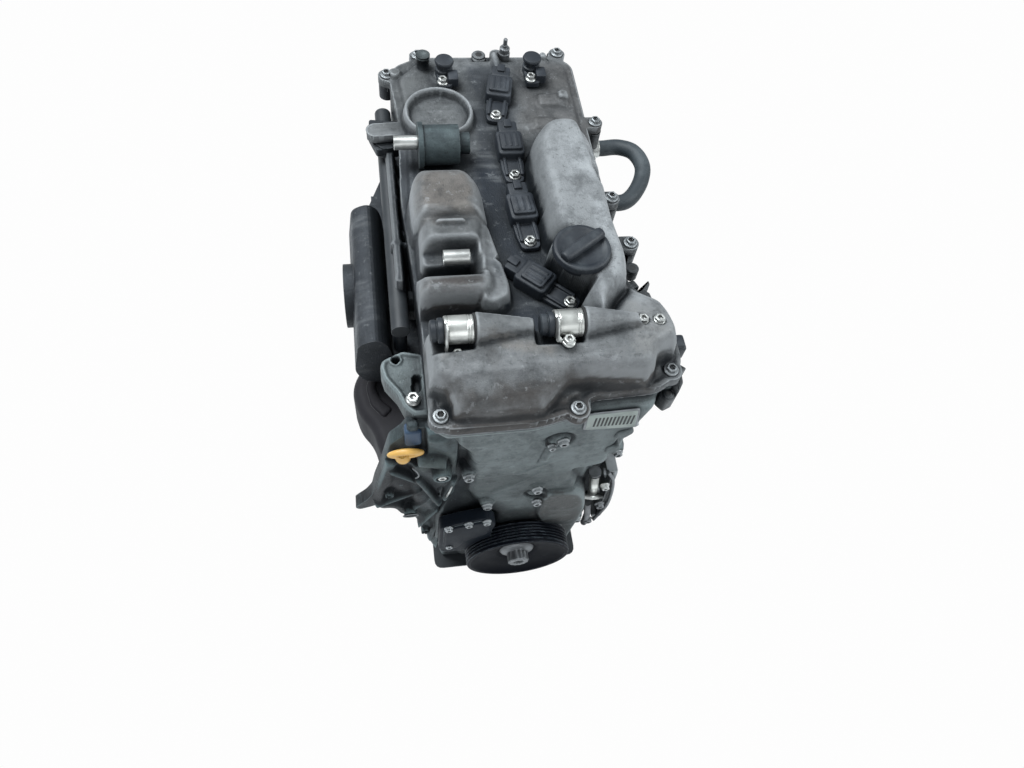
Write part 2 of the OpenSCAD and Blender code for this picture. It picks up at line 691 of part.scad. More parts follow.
// Outline of the chain's path, off away from the tips of the teeth
chain_run = sqrt(pow(cam_half_gap, 2) + pow(cam_z, 2));
chain_lean = atan2(cam_half_gap, cam_z);
chain_wrap = acos((crank_sprocket_r - cam_sprocket_r) / chain_run);
chain_a = 90 + chain_lean + chain_wrap;
function chain_path(off, steps) = concat(
    arc(cam_half_gap, cam_z, cam_sprocket_r + off, 180 - chain_a, 90, steps),
    arc(-cam_half_gap, cam_z, cam_sprocket_r + off, 90, chain_a, steps),
    arc(0, 0, crank_sprocket_r + off, chain_a, 540 - chain_a, steps));

module timing_chain() color([0.3, 0.3, 0.32]) {
    along_y(chain_y - chain_w / 2, chain_y + chain_w / 2) difference() {
        polygon(chain_path(free_gap + chain_t, 14));
        polygon(chain_path(free_gap, 14));
    }
    // pin ends of the links along the straight run at the top
    for (k = [-3 : 3])
        rod_y(k * 9.5, cam_z + cam_sprocket_r + free_gap + chain_t / 2, chain_y + chain_w / 2,
              chain_y + chain_w / 2 + 1, 2);
}

// Slippers beside the chain's two long runs; +X is the guide and -X the tensioner arm
slipper_t = 9;
slipper_low = 70;
slipper_high = 262;
function run_x(z, off) =
    let (nx = -cos(chain_a), nz = sin(chain_a), r = crank_sprocket_r + off)
    (r - z * nz) / nx;

module slipper() {
    off = free_gap * 2 + chain_t;
    along_y(chain_y - 7, chain_y + 7)
        polygon(soft([[run_x(slipper_low, off), slipper_low],
                      [run_x(slipper_low, off) + slipper_t, slipper_low],
                      [run_x(slipper_high, off) + slipper_t, slipper_high],
                      [run_x(slipper_high, off), slipper_high]],
                     3, 2));
    rod_y(run_x(slipper_low + 8, off) + slipper_t - 1, slipper_low + 8, chain_y + 7, block_front_y, 5);
}

module chain_guide() color([0.2, 0.2, 0.2]) {
    slipper();
    rod_y(run_x(slipper_high - 8, free_gap * 2 + chain_t) + slipper_t - 4, slipper_high - 8,
          chain_y + 7, block_front_y, 4);
}
module tensioner_arm() color([0.2, 0.2, 0.2]) { mirror([1, 0, 0]) slipper(); }

tensioner_z = slipper_high - 20;
tensioner_x = -run_x(tensioner_z, free_gap * 2 + chain_t) - slipper_t - 1;
module tensioner_body(gap) block_of(tensioner_x - 24 - gap, tensioner_x - 6 + gap, chain_y - 8 - gap,
                                    block_front_y + (gap > 0 ? past : 0),
                                    tensioner_z - 12 - gap, tensioner_z + 12 + gap);
module chain_tensioner() color([0.55, 0.56, 0.55]) {
    tensioner_body(0);
    rod_x(chain_y, tensioner_z, tensioner_x - 6, tensioner_x + 0.2, 4);
}

// ---------------------------------------------------------------- housing, cover and chain case

// Rim of the cam cover seen from above, from the rear left corner clockwise as seen from below
cover_rim = soft(plan([
    [-112, -30], [-84, -14], [78, -14], [94, -30], [93, -352], [112, -384], [126, -416], [126, -446],
    [118, -462], [98, -474], [34, -477], [24, -490], [-16, -499], [-96, -500], [-111, -488],
    [-110, -380], [-118, -230], [-113, -120], [-119, -60]]), 9, 3);
cam_bay_half = bore_pitch / 2 - 12;

module camshaft_housing() color([0.4, 0.41, 0.41]) {
    difference() {
        union() {
            intersection() {
                along_z(cam_housing_z, cover_gasket_z) polygon(cover_rim);
                block_of(-150, 150, block_front_y, 0, cam_housing_z, cover_gasket_z);
            }
            // bolt lugs round the joint face
            along_z(cover_gasket_z - 22, cover_gasket_z) cover_lugs();
            block_of(80, outlet_x, -228, -112, spigot_z - 12, spigot_z + 11);
            along_z(cover_gasket_z - 14, cover_gasket_z)
                polygon(soft(plan([[-110, -126], [-136, -130], [-142, -142], [-132, -156],
                                   [-110, -152]]), 6, 3));
        }
        rod_z(-132, fore(-141), cover_gasket_z - 23, cover_gasket_z + past, 3.5);
        // camshaft bays, left and right of the plug wells
        for (i = [0 : cylinder_count - 1], side = [-1, 1])
            block_of(side > 0 ? well_half_w + 2 : -86, side > 0 ? 82 : -well_half_w - 2,
                     cylinder_y(i) - cam_bay_half, cylinder_y(i) + cam_bay_half,
                     cam_housing_z - past, cover_gasket_z + past);
        for (side = [-1, 1])
            rod_y(side * cam_half_gap, cam_z, block_front_y - past, cam_rear_y + 1, cam_journal_r + run_gap);
        for (i = [0 : cylinder_count - 1])
            rod_z(0, cylinder_y(i), cam_housing_z - past, cover_gasket_z + past, well_r);
        // room for the head bolts' heads
        at_head_bolts() rod_z(0, 0, cam_housing_z - past, cam_z - cam_journal_r - 6, 11);
        at_cover_bolts() rod_z(0, 0, cover_gasket_z - 14, cover_gasket_z + past, cover_bolt_r + run_gap);
        at_coil_bolts() rod_z(0, 0, cover_gasket_z - 10, cover_gasket_z + past, cover_bolt_r + run_gap);
    }
}

// Bolts that hold the cover: rear part in the housing, front three in the chain case
cover_bolt_r = 3;
cover_bolt_seat_z = cover_z + 9;
side_cover_bolts = plan([[-84, -11], [-121, -46], [80, -8], [104, -133], [100, -245], [107, -306]]);
shelf_bolts = plan([[-59, -379], [-78, -382]]);

front_cover_bolts = plan([[-101, -486], [20, -488], [113, -456]]);
// A round lug for each side bolt, with the web that ties it to the rim
module cover_lugs() for (p = side_cover_bolts) {
    translate(p) circle(r = 9);
    polygon(rectangle(min(p[0], sign(p[0]) * 70), p[1] - 8, max(p[0], sign(p[0]) * 70), min(p[1] + 8, -14)));
}
module at_cover_bolts() for (p = side_cover_bolts) translate([p[0], p[1], 0]) children();
module at_front_cover_bolts() for (p = front_cover_bolts) translate([p[0], p[1], 0]) children();

// Coils: direction from each plug well to its bolt, and how far away the bolt is
coil_turns = [48, 4, 0, -12];
coil_bolt_reach = 40;
module at_coils() for (i = [0 : cylinder_count - 1])
    translate([0, cylinder_y(i), 0]) rotate([0, 0, coil_turns[i]]) children();
module at_coil_bolts() at_coils() translate([0, -coil_bolt_reach, 0]) children();

valley_z = cover_z + 14;
hump_wall = 6;
solenoid_y = block_front_y - 7;
solenoid_z = hump_top_z - 6;
solenoid_r = solenoid_d / 2;
solenoid_ends = [-69, 26];
filler_x = 39;
filler_y = cylinder_y(0) + 3;
filler_seat_z = hump_top_z - 3;
filler_neck_z = valley_z + 22;
filler_r = filler_bore_d / 2;
cap_r = filler_cap_d / 2;
motor_port_x = -70;
motor_port_y = fore(-128);
motor_seat_z = valley_z + 12;
motor_port_depth = 10;
drum_y = fore(-190);
drum_z = valley_z + 21;
drum_r = 20;
breather_y = cylinder_y(0) + 12;
breather_z = hump_top_z - 14;
nipple_r = nipple_d / 2;
sensor_places = plan([[41, -58], [-58, -62]]);
sensor_r = 9;

// Sections of the two humps, [x, height above the joint face]
intake_hump = soft([[-112, 8], [-109, 40], [-96, 56], [-62, 57], [-50, 46], [-42, 14], [-40, 8]], 10, 4);
exhaust_hump = soft([[14, 8], [20, 38], [32, hump_h], [60, hump_h], [72, 46], [86, 14], [88, 8]], 10, 4);

// Side views of the humps, [y, height above the joint face]
function side_view(points) = [for (p = points) [fore(p[0]), p[1]]];
intake_side = soft(side_view([[-374, 8], [-364, 36], [-350, 54], [-330, 57], [-252, 57], [-240, 44],
                              [-234, 8]]), 12, 4);
exhaust_side = soft(side_view([[-424, 8], [-424, 52], [-404, hump_h], [-198, hump_h], [-180, 48],
                               [-171, 8]]), 14, 4);

// A hump is what its section, its side view and its outline from above have in common
module hump(section, side, outline) {
    intersection() {
        translate([0, 0, cover_z]) along_y(fore(-424), fore(-171)) polygon(section);
        translate([0, 0, cover_z]) along_x(-114, 92) polygon(side);
        along_z(cover_z, hump_top_z + 1) polygon(plan(outline));
    }
}

// The wide dome over the chain: side section, front section and rim cut each other
module front_dome() {
    intersection() {
        translate([0, 0, cover_z]) along_x(-112, 128)
            polygon(soft([[case_front_y - 12, 8], [case_front_y - 4, 28], [case_front_y + 16, 44],
                          [block_front_y - 16, 50], [block_front_y + 8, 50], [block_front_y + 16, 8]], 9, 4));
        translate([0, 0, cover_z]) along_y(case_front_y - 15, block_front_y + 17)
            polygon(soft([[-110, 8], [-107, 30], [-98, 38], [-70, 38], [-58, 50], [0, 50], [60, 52],
                          [100, 46], [116, 30], [124, 8]], 9, 4));
        along_z(cover_z, hump_top_z + 1) polygon(cover_rim);
    }
}

module cam_cover() color([0.47, 0.47, 0.46]) {
    difference() {
        union() {
            along_z(cover_z, cover_bolt_seat_z) {
                polygon(cover_rim);
                cover_lugs();
            }
            intersection() {
                along_z(cover_z, valley_z) polygon(cover_rim);
                block_of(-108, 88, case_front_y - 4, -24, cover_z, valley_z);
            }
            hump(intake_hump, intake_side,
                 soft([[-114, -374], [-38, -374], [-42, -320], [-46, -262], [-60, -234], [-100, -234],
                       [-114, -262]], 16, 5));
            hump(exhaust_hump, exhaust_side,
                 soft([[40, -424], [92, -424], [92, -250], [82, -196], [66, -171], [38, -171], [20, -196],
                       [14, -260], [14, -318], [30, -334], [30, -366], [40, -384]], 10, 4));
            front_dome();
            // solenoid bosses, each a cone lying towards the exhaust side
            for (x = solenoid_ends) translate([x, solenoid_y, solenoid_z]) rotate([0, 90, 0])
                cylinder(r1 = solenoid_r + 1.5, r2 = 6, h = x < 0 ? 52 : 46);
            rod_z(filler_x, filler_y, filler_neck_z, filler_seat_z, filler_r + 4);
            rod_z(motor_port_x, motor_port_y, cover_z, motor_seat_z, motor_port_d / 2 + 6);
            // low pads at the rear of the exhaust side
            along_z(cover_z, valley_z + 7) polygon(soft(plan(rectangle(26, -118, 84, -86)), 8, 3));
            along_z(cover_z, valley_z + 4) polygon(soft(plan(rectangle(22, -166, 70, -126)), 8, 3));
            along_z(cover_z, valley_z + 6) polygon(soft(plan(rectangle(-2, -70, 10, -24)), 3, 2));
            for (p = sensor_places) rod_z(p[0], p[1], cover_z, valley_z + 4, sensor_r + 5);
        }
        // room inside for the camshafts, humps and chain
        for (side = [-1, 1])
            block_of(side > 0 ? well_half_w + 4 : -84, side > 0 ? 80 : -well_half_w - 4,
                     block_front_y + 20, -36, cover_z - past, cam_z + cam_reach + 3);
        intersection() {
            translate([0, 0, cover_z - hump_wall]) along_y(breather_y + 14, fore(-246)) polygon(intake_hump);
            block_of(-104, -50, fore(-424), fore(-246), cover_z - past, hump_top_z - hump_wall);
        }
        intersection() {
            translate([0, 0, cover_z - hump_wall]) along_y(filler_y, fore(-186)) polygon(exhaust_hump);
            block_of(26, 80, fore(-424), fore(-186), cover_z - past, hump_top_z - hump_wall);
        }
        block_of(-96, 90, case_front_y + 10, block_front_y + 4, cover_z - past,
                 cam_z + cam_sprocket_r + chain_t + 4);
        block_of(-18, 26, solenoid_y - solenoid_r - 3, solenoid_y + solenoid_r + 3,
                 solenoid_z - solenoid_r - 2, hump_top_z + 20);
        rod_x(breather_y, breather_z, -130, -62, nipple_r + 4);
        block_of(-114, -66, breather_y - nipple_r - 4, breather_y + nipple_r + 4, breather_z, hump_top_z + 2);
        // wells, filler, motor port and bolts
        for (i = [0 : cylinder_count - 1]) rod_z(0, cylinder_y(i), cover_z - past, valley_z + past, well_r + 1);
        rod_z(filler_x, filler_y, filler_seat_z, hump_top_z + past, cap_r + 3);
        rod_z(filler_x, filler_y, filler_neck_z, filler_seat_z + past, filler_r);
        rod_z(filler_x, filler_y, cover_z - past, filler_neck_z + past, filler_r - 8);
        rod_z(motor_port_x, motor_port_y, motor_seat_z - motor_port_depth, motor_seat_z + past,
              motor_port_d / 2);
        at_cover_bolts() rod_z(0, 0, cover_z - past, cover_bolt_seat_z + past, cover_bolt_r + 0.4);
        at_front_cover_bolts() {
            rod_z(0, 0, cover_z - past, cover_bolt_seat_z + past, cover_bolt_r + 0.4);
            rod_z(0, 0, cover_bolt_seat_z, hump_top_z + past, 12);
        }
        at_coil_bolts() {
            rod_z(0, 0, cover_z - past, valley_z + past, cover_bolt_r + 0.4);
            rod_z(0, 0, valley_z, valley_z + 17, 9);
        }
        at_coils() {
            along_z(valley_z, valley_z + coil_head_t + 1) {
                polygon(rectangle(-14.6, -17.6, 14.6, 17.6));
                polygon(rectangle(-10.6, 16, 10.6, 31));
            }
            along_z(valley_z, valley_z + coil_arm_t + 1) polygon(rectangle(-12, -50, 12, -12));
        }
        for (p = shelf_bolts) rod_z(p[0], p[1], cover_z - past, valley_z + past, cover_bolt_r + run_gap);
        for (p = sensor_places) rod_z(p[0], p[1], valley_z - 4, valley_z + 5, 5);
    }
}

module cam_cover_gasket() color([0.1, 0.1, 0.1]) {
    along_z(cover_gasket_z, cover_z) difference() {
        polygon(cover_rim);
        polygon(rectangle(-86, fore(-430), 84, -30));
        polygon(rectangle(-98, case_front_y + 10, 94, fore(-425)));
        for (p = concat(side_cover_bolts, front_cover_bolts)) translate(p) circle(r = 11);
    }
}

// A flange bolt with its seat at the origin, head up
module flange_bolt(shank_r, length, flange, head) {
    translate([0, 0, -length]) cylinder(r = shank_r, h = length);
    cylinder(r = flange, h = 1.6);
    translate([0, 0, 1.6]) cylinder(r = head, h = 5.4, $fn = 6);
}

module flange_bolts() color([0.75, 0.75, 0.72]) {
    at_cover_bolts() translate([0, 0, cover_bolt_seat_z]) flange_bolt(cover_bolt_r, 20, 7, 5.6);
    at_front_cover_bolts() translate([0, 0, cover_bolt_seat_z]) flange_bolt(cover_bolt_r, 19, 7, 5.6);
    at_coil_bolts() translate([0, 0, valley_z + coil_arm_t]) flange_bolt(cover_bolt_r, 20, 7, 5.6);
    for (p = shelf_bolts) translate([p[0], p[1], valley_z]) flange_bolt(cover_bolt_r, 14, 7, 5.6);
}

// ---------------------------------------------------------------- chain case

// Outlines seen from the front, [x, z]: the flange with the box behind it, and the front face
case_wide = soft([[-106, cover_gasket_z], [104, cover_gasket_z], [102, 290], [98, 250], [98, 120], [95, 40],
                  [90, -40], [86, lower_case_z], [-90, lower_case_z], [-98, -30], [-104, 60],
                  [-104, 262]], 6, 3);
case_inside = soft([[-98, cover_gasket_z + 5], [92, cover_gasket_z + 5], [92, 120], [88, 40], [84, -40],
                    [80, lower_case_z + 6], [-84, lower_case_z + 6], [-92, -30], [-97, 60]], 5, 3);
case_face = soft([[-101, 326], [90, 326], [88, 300], [76, 275], [76, 120], [78, 28], [74, -64], [60, -104],
                  [-66, -104], [-90, -26], [-96, 60], [-98, 262]], 10, 4);
case_shoulder_y = block_front_y - 48;
case_bolt_r = 4;
case_flange_t = 20;
face_bolts = [[17, 277], [-68, 203], [11, 142], [14, 114], [-58, 118], [-84, -30]];
edge_bolts = [[105, 236], [105, 160], [98, 2], [95, -50], [-99, -48], [-107, 152], [-108, 278]];
pump_x = -66;
pump_z = 56;
pump_room_r = 28;
pump_cover_t = 15;

module timing_cover() color([0.39, 0.42, 0.41]) {
    difference() {
        union() {
            along_y(case_shoulder_y, block_front_y) polygon(case_wide);
            along_y(case_front_y, case_shoulder_y) polygon(case_face);
            // top flange under the cam cover
            intersection() {
                along_z(cover_gasket_z - 12, cover_gasket_z) polygon(cover_rim);
                block_of(-130, 130, case_front_y - 20, block_front_y, 0, cover_gasket_z);
            }
            // raised pads of the front face
            along_y(case_front_y - 6, case_front_y) {
                polygon(soft([[18, 92], [74, 92], [73, 150], [18, 152]], 10, 4));
                polygon(soft([[-98, 204], [-50, 212], [-40, 240], [40, 240], [52, 300], [46, 322],
                              [-92, 322]], 14, 4));
            }
            for (b = face_bolts) rod_y(b[0], b[1], case_front_y - 7, case_front_y, 9);
            for (b = edge_bolts) rod_y(b[0], b[1], block_front_y - case_flange_t, block_front_y, 9);
        }
        difference() {
            along_y(case_shoulder_y + chain_case_wall, block_front_y + past) polygon(case_inside);
            rod_y(0, 0, case_front_y, case_front_y + 12, front_seal_r + 6);
        }
        difference() {
            along_y(case_front_y + chain_case_wall, case_shoulder_y + chain_case_wall + past)
                polygon(soft([[-92, cover_gasket_z + 5], [68, cover_gasket_z + 5], [68, 28], [66, -60],
                              [54, -94],
                              [-60, -94], [-82, -26], [-88, 60]], 8, 3));
            rod_y(0, 0, case_front_y, case_front_y + 12, front_seal_r + 6);
            rod_y(pump_x, pump_z, case_front_y, case_shoulder_y + chain_case_wall + past, pump_room_r + 6);
        }
        rod_y(0, 0, case_front_y - past, case_front_y + seal_t, front_seal_r + 0.02);
        rod_y(0, 0, case_front_y - past, block_front_y, hub_r + 2);
        // water pump's impeller room and bolt holes
        rod_y(pump_x, pump_z, case_front_y - past, case_front_y + 20, pump_room_r);
        for (b = face_bolts) rod_y(b[0], b[1], case_front_y - 8, case_front_y + 3, case_bolt_r + run_gap);
        for (b = edge_bolts) {
            rod_y(b[0], b[1], block_front_y - case_flange_t - past, block_front_y + past,
                  case_bolt_r + run_gap);
            rod_y(b[0], b[1], block_front_y - case_flange_t - 9, block_front_y - case_flange_t, 9);
        }
        tensioner_body(free_gap);
        dipstick_way();
        at_front_cover_bolts() rod_z(0, 0, cover_gasket_z - 11, cover_gasket_z + past, cover_bolt_r + run_gap);
    }
}

module timing_cover_bolts() color([0.55, 0.57, 0.55]) {
    for (b = face_bolts)
        translate([b[0], case_front_y - 7, b[1]]) rotate([90, 0, 0]) flange_bolt(case_bolt_r, 9, 8.5, 6.8);
    for (b = edge_bolts)
        translate([b[0], block_front_y - case_flange_t, b[1]]) rotate([90, 0, 0])
            flange_bolt(case_bolt_r, case_flange_t + 12, 8.5, 6.8);
}

// ---------------------------------------------------------------- fittings on the covers

coil_head_t = 18;
coil_arm_t = 8;

module oil_filler_cap() color([0.06, 0.07, 0.08]) {
    translate([filler_x, filler_y, 0]) {
        rod_z(0, 0, filler_seat_z - 14, filler_seat_z, filler_r - 0.1);
        rod_z(0, 0, filler_seat_z, filler_seat_z + 4, cap_r);
        rod_z(0, 0, filler_seat_z + 4, filler_seat_z + 9, cap_r - 2);
        intersection() {
            rod_z(0, 0, filler_seat_z + 9, filler_seat_z + 16, cap_r - 2);
            rotate([0, 0, 35]) along_x(-cap_r, cap_r)
                translate([0, filler_seat_z + 9]) polygon(soft([[-8, 0], [8, 0], [5, 7], [-5, 7]], 3, 3));
        }
    }
}

module ignition_coils() color([0.1, 0.12, 0.15]) {
    at_coils() {
        rod_z(0, 0, plug_seat_z + 41, valley_z, well_r - 1);
        along_z(valley_z, valley_z + coil_head_t) polygon(soft(rectangle(-14, -17, 14, 17), 6, 4));
        difference() {
            along_z(valley_z, valley_z + coil_arm_t)
                polygon(soft([[-9, -coil_bolt_reach - 9], [9, -coil_bolt_reach - 9], [11, -12],
                              [-11, -12]], 6, 4));
            rod_z(0, -coil_bolt_reach, valley_z - past, valley_z + coil_arm_t + past, cover_bolt_r + 0.4);
        }
        block_of(-10, 10, 16, 30, valley_z + 3, valley_z + 15);
    }
}

module oil_control_valves() color([0.75, 0.76, 0.7]) {
    for (x = solenoid_ends) {
        rod_x(solenoid_y, solenoid_z, x - 25, x, solenoid_r);
        // strap that holds the solenoid down on the dome in front of it, with its screw
        foot_z = cover_z + (x < 0 ? 38 : 50) + 0.3;
        along_x(x - 24, x - 21)
            polygon([[solenoid_y - 22, foot_z], [solenoid_y - 8, foot_z], [solenoid_y - 8, solenoid_z + 6],
                     [solenoid_y - 14, solenoid_z + 6], [solenoid_y - 22, foot_z + 5]]);
        block_of(x - 22, x - 10, solenoid_y - 23, solenoid_y - 13.5, foot_z, foot_z + 2.5);
        rod_z(x - 15, solenoid_y - 18, foot_z + 2, foot_z + 6, 3.8);
    }
}

module valve_plugs() color([0.05, 0.06, 0.07]) {
    for (x = solenoid_ends) {
        rod_x(solenoid_y, solenoid_z, x - 31, x - 25, solenoid_r - 1.5);
        block_of(x - 42, x - 31, solenoid_y - 8, solenoid_y + 8, solenoid_z - 7, solenoid_z + 8);
    }
}

module cam_position_sensors() color([0.12, 0.15, 0.18]) {
    for (p = sensor_places) {
        rod_z(p[0], p[1], valley_z - 3, valley_z + 4, 4.9);
        rod_z(p[0], p[1], valley_z + 4, valley_z + 22, sensor_r);
        along_z(valley_z + 4, valley_z + 9)
            polygon(soft(rectangle(p[0] - 9, p[1] - 24, p[0] + 9, p[1] + 6), 4, 3));
        rod_z(p[0], p[1] - 18, valley_z + 9, valley_z + 14, 5);
    }
}

module hose_nipples() color([0.8, 0.8, 0.76]) {
    for (n = [[-62, breather_y, breather_z], [-97, drum_y, drum_z + 4]]) difference() {
        rod_x(n[1], n[2], n[0] - 24, n[0], nipple_r);
        rod_x(n[1], n[2], n[0] - 25, n[0] - 4, nipple_r - 2);
    }
}

module lift_actuator() color([0.35, 0.42, 0.42]) {
    difference() {
        union() {
            rod_x(drum_y, drum_z, -92, -56, drum_r);
            rod_x(drum_y, drum_z, -97, -92, drum_r + 3);
            rod_x(drum_y + 6, drum_z - 4, -56, -44, 11);
        }
        block_of(-100, -40, drum_y - drum_r - 5, drum_y + drum_r + 5, cover_z - 10, valley_z);
    }
}

// ---------------------------------------------------------------- intake side

manifold_flange_x = -head_half_w - 10;
plenum_section = soft([[-176, 240], [-168, 220], [-144, 213], [-137, 222], [-137, 266], [-141, 286],
                       [-152, 296], [-170, 288]], 8, 4);
throttle_r = throttle_port_d / 2;
throttle_y = fore(-282);
throttle_z = 248;
runner_top_z = port_z + 18;

module intake_manifold() color([0.55, 0.58, 0.56]) {
    difference() {
        union() {
            block_of(manifold_flange_x, -head_half_w, fore(-398), fore(-58), port_z - 26, port_z + 24);
            along_y(fore(-372), fore(-196)) polygon(plenum_section);
            for (i = [0 : 2])
                block_of(-148, manifold_flange_x + past, cylinder_y(i) - 32, cylinder_y(i) + 32,
                         port_z - 18, runner_top_z);
            along_z(port_z - 18, runner_top_z)
                polygon(plan([[manifold_flange_x + past, -124], [manifold_flange_x + past, -62], [-112, -62],
                              [-164, -196], [-164, -240], [-130, -240], [-130, -196]]));
            rod_x(throttle_y, throttle_z, -182, -160, throttle_r + 8);
        }
        rod_x(throttle_y, throttle_z, -183, -150, throttle_r);
        for (i = [0 : cylinder_count - 1]) port_tool_short(i);
    }
}

module port_tool_short(i) {
    along_x(-116, -head_half_w + past) translate([cylinder_y(i), port_z])
        polygon(soft(rectangle(-port_w / 2, -port_h / 2, port_w / 2, port_h / 2), 11, 4));
}

rail_x = -128;
rail_z = 308;
rail_r = 9;

module fuel_rail() color([0.16, 0.19, 0.22]) {
    rod_y(rail_x, rail_z, fore(-372), fore(-72), rail_r);
    for (y = [fore(-311), fore(-136)])
        block_of(rail_x - 4, rail_x + 4, y - 6, y + 6, runner_top_z, rail_z);
}

module injectors() color([0.08, 0.09, 0.1]) {
    for (i = [0 : cylinder_count - 1]) translate([0, cylinder_y(i), 0]) {
        difference() {
            rod_z(rail_x, 0, runner_top_z, rail_z, 7);
            rod_y(rail_x, rail_z, -20, 20, rail_r);
        }
    }
}

// ---------------------------------------------------------------- left front

dip_top = [-134, front_shift - 474, 245];
// Way from the tube's foot to its mouth
dip_way = [-30, -74, 265];
dip_length = dipstick_length + 2;
dip_tilt = acos(dip_way[2] / norm(dip_way));
dip_turn = atan2(dip_way[1], dip_way[0]);
dip_tube_r = 5;
dip_blade_r = 3;
dip_collar_r = 8;
handle_half_w = 17;
handle_t = 10;

// Places a child whose Z axis runs up along the dipstick from the tube's mouth
module at_dipstick() translate(dip_top) rotate([0, dip_tilt, dip_turn]) children();

// Clearance for the tube in what it passes through
module dipstick_way() at_dipstick() translate([0, 0, -dip_length - past])
    cylinder(r = dip_tube_r + run_gap, h = dip_length);

// Clearance for the handle as it is drawn up
module handle_way() at_dipstick() translate([0, 0, -7]) {
    cylinder(r = dip_collar_r + 2, h = 120);
    rotate([0, 0, -dip_turn]) linear_extrude(120) square([2 * handle_half_w + 4, handle_t + 5], center = true);
}

module dipstick_tube() color([0.16, 0.17, 0.18]) {
    difference() {
        union() {
            at_dipstick() translate([0, 0, -dip_length]) cylinder(r = dip_tube_r, h = dip_length);
            at_dipstick() translate([0, 0, -6]) cylinder(r = dip_tube_r + 2, h = 6);
        }
        at_dipstick() translate([0, 0, -dip_length - past])
            cylinder(r = dip_blade_r + run_gap, h = dip_length + 2 * past);
    }
}

module dipstick() color([0.87, 0.69, 0.35]) {
    at_dipstick() {
        translate([0, 0, -dipstick_length]) cylinder(r = dip_blade_r, h = dipstick_length + 6);
        translate([0, 0, 0.3]) cylinder(r = dip_collar_r, h = 7);
        translate([0, 0, 7.3]) rotate([0, 0, -dip_turn]) rotate([90, 0, 0]) translate([0, 0, -handle_t / 2])
            difference() {
                w = handle_half_w;
                linear_extrude(handle_t) polygon(soft([[-w, 3], [3 - w, 0], [w - 3, 0], [w, 3], [w - 1, 15],
                                                       [1 - w, 15]], 5, 4));
                translate([0, 0, -past]) linear_extrude(handle_t + 2 * past)
                    polygon(soft(rectangle(6 - w, 5, w - 6, 10), 2, 3));
            }
    }
}

shield_low_z = 176;
shield_top_z = 208;

module side_shield() color([0.22, 0.21, 0.22]) {
    outline = soft([[-136, -332], [-164, -332], [-180, -352], [-184, -382], [-176, -412], [-160, -436],
                    [-152, -462], [-140, -462], [-138, -420]], 14, 5);
    along_z(shield_low_z, shield_top_z) polygon(plan(outline));
    for (y = [fore(-350), fore(-380)])
        block_of(-140, -deck_half_w - 10, y - 7, y + 7, shield_low_z + 4, shield_low_z + 20);
}

module front_bracket() color([0.3, 0.33, 0.33]) {
    difference() {
        translate([0, front_shift, 0]) union() {
            along_y(-486, -454) polygon(soft([[-118, 96], [-107, 96], [-107, 316], [-128, 316], [-130, 296],
                                              [-118, 280]], 5, 3));
            along_z(108, 140) polygon(soft([[-184, -490], [-176, -496], [-146, -502], [-108, -500],
                                            [-108, -470], [-134, -470], [-152, -480]], 5, 3));
            along_z(296, 312) polygon(soft([[-134, -486], [-107, -486], [-111, -450], [-110.8, -396],
                                            [-128, -396]], 3, 3));
            // web between the column and the arm
            along_y(-474, -462.5)
                polygon(soft([[-107, 98], [-140, 102], [-148, 128], [-180, 134], [-170, 158], [-166, 188],
                              [-151, 234], [-140, 242], [-107, 250]], 5, 3));
            rod_y(-118, 206, -498, -454, 11);
        }
        for (y = [-444, -408]) rod_z(-119, y + front_shift, 295, 313, 4.2);
        dipstick_way();
        handle_way();
    }
}

// ---------------------------------------------------------------- right side and pump

module side_bracket() color([0.66, 0.69, 0.7]) {
    translate([0, front_shift, 0]) difference() {
        union() {
            along_x(105.5, 111) polygon(soft([[-474, 14], [-428, 14], [-424, 128], [-462, 128]], 6, 3));
            along_z(14, 20) polygon(soft(rectangle(98.5, -474, 111, -430), 2, 2));
            along_z(122, 128) polygon(soft(rectangle(98.5, -462, 111, -426), 2, 2));
        }
        rod_x(-448, 92, 104, 112, 6);
        rod_x(-450, 48, 104, 112, 6);
    }
}

module water_pump() color([0.16, 0.18, 0.19]) {
    y0 = case_front_y - pump_cover_t;
    difference() {
        along_y(y0, case_front_y)
            polygon(soft(rectangle(pump_x - 30, pump_z - 41, pump_x + 29, pump_z + 41), 12, 4));
        rod_y(0, 0, y0 - past, case_front_y - 2.2, pulley_d / 2 + 2);
        rod_y(pump_x, pump_z, y0 + 3, case_front_y + past, 6 + run_gap);
    }
}

module pump_rotor() color([0.4, 0.4, 0.4]) {
    y0 = case_front_y - pump_cover_t;
    rod_y(pump_x, pump_z, y0 + 3 + free_gap, case_front_y + 14, 6);
    rod_y(pump_x, pump_z, case_front_y + free_gap, case_front_y + 3, 24);
    for (k = [0 : 5]) translate([pump_x, 0, pump_z]) rotate([0, k * 60, 0])
        block_of(4, 24, case_front_y + 2, case_front_y + 14, -1.5, 1.5);
}

// Water outlet casting with the two spigots that the bypass hose is pushed on
outlet_x = 96;
spigot_z = 302;
spigot_ys = [-128, -212];
hose_r = hose_d / 2;
spigot_r = hose_bore / 2;

module water_outlet() color([0.5, 0.52, 0.5]) {
    difference() {
        union() {
            block_of(outlet_x, outlet_x + 9, -226, -114, spigot_z - 11, spigot_z + 10);
            for (y = spigot_ys) rod_x(y, spigot_z, outlet_x, outlet_x + 24, spigot_r - 0.1);
        }
        for (y = spigot_ys) rod_x(y, spigot_z, outlet_x + 5, outlet_x + 35, spigot_r - 2);
    }
}

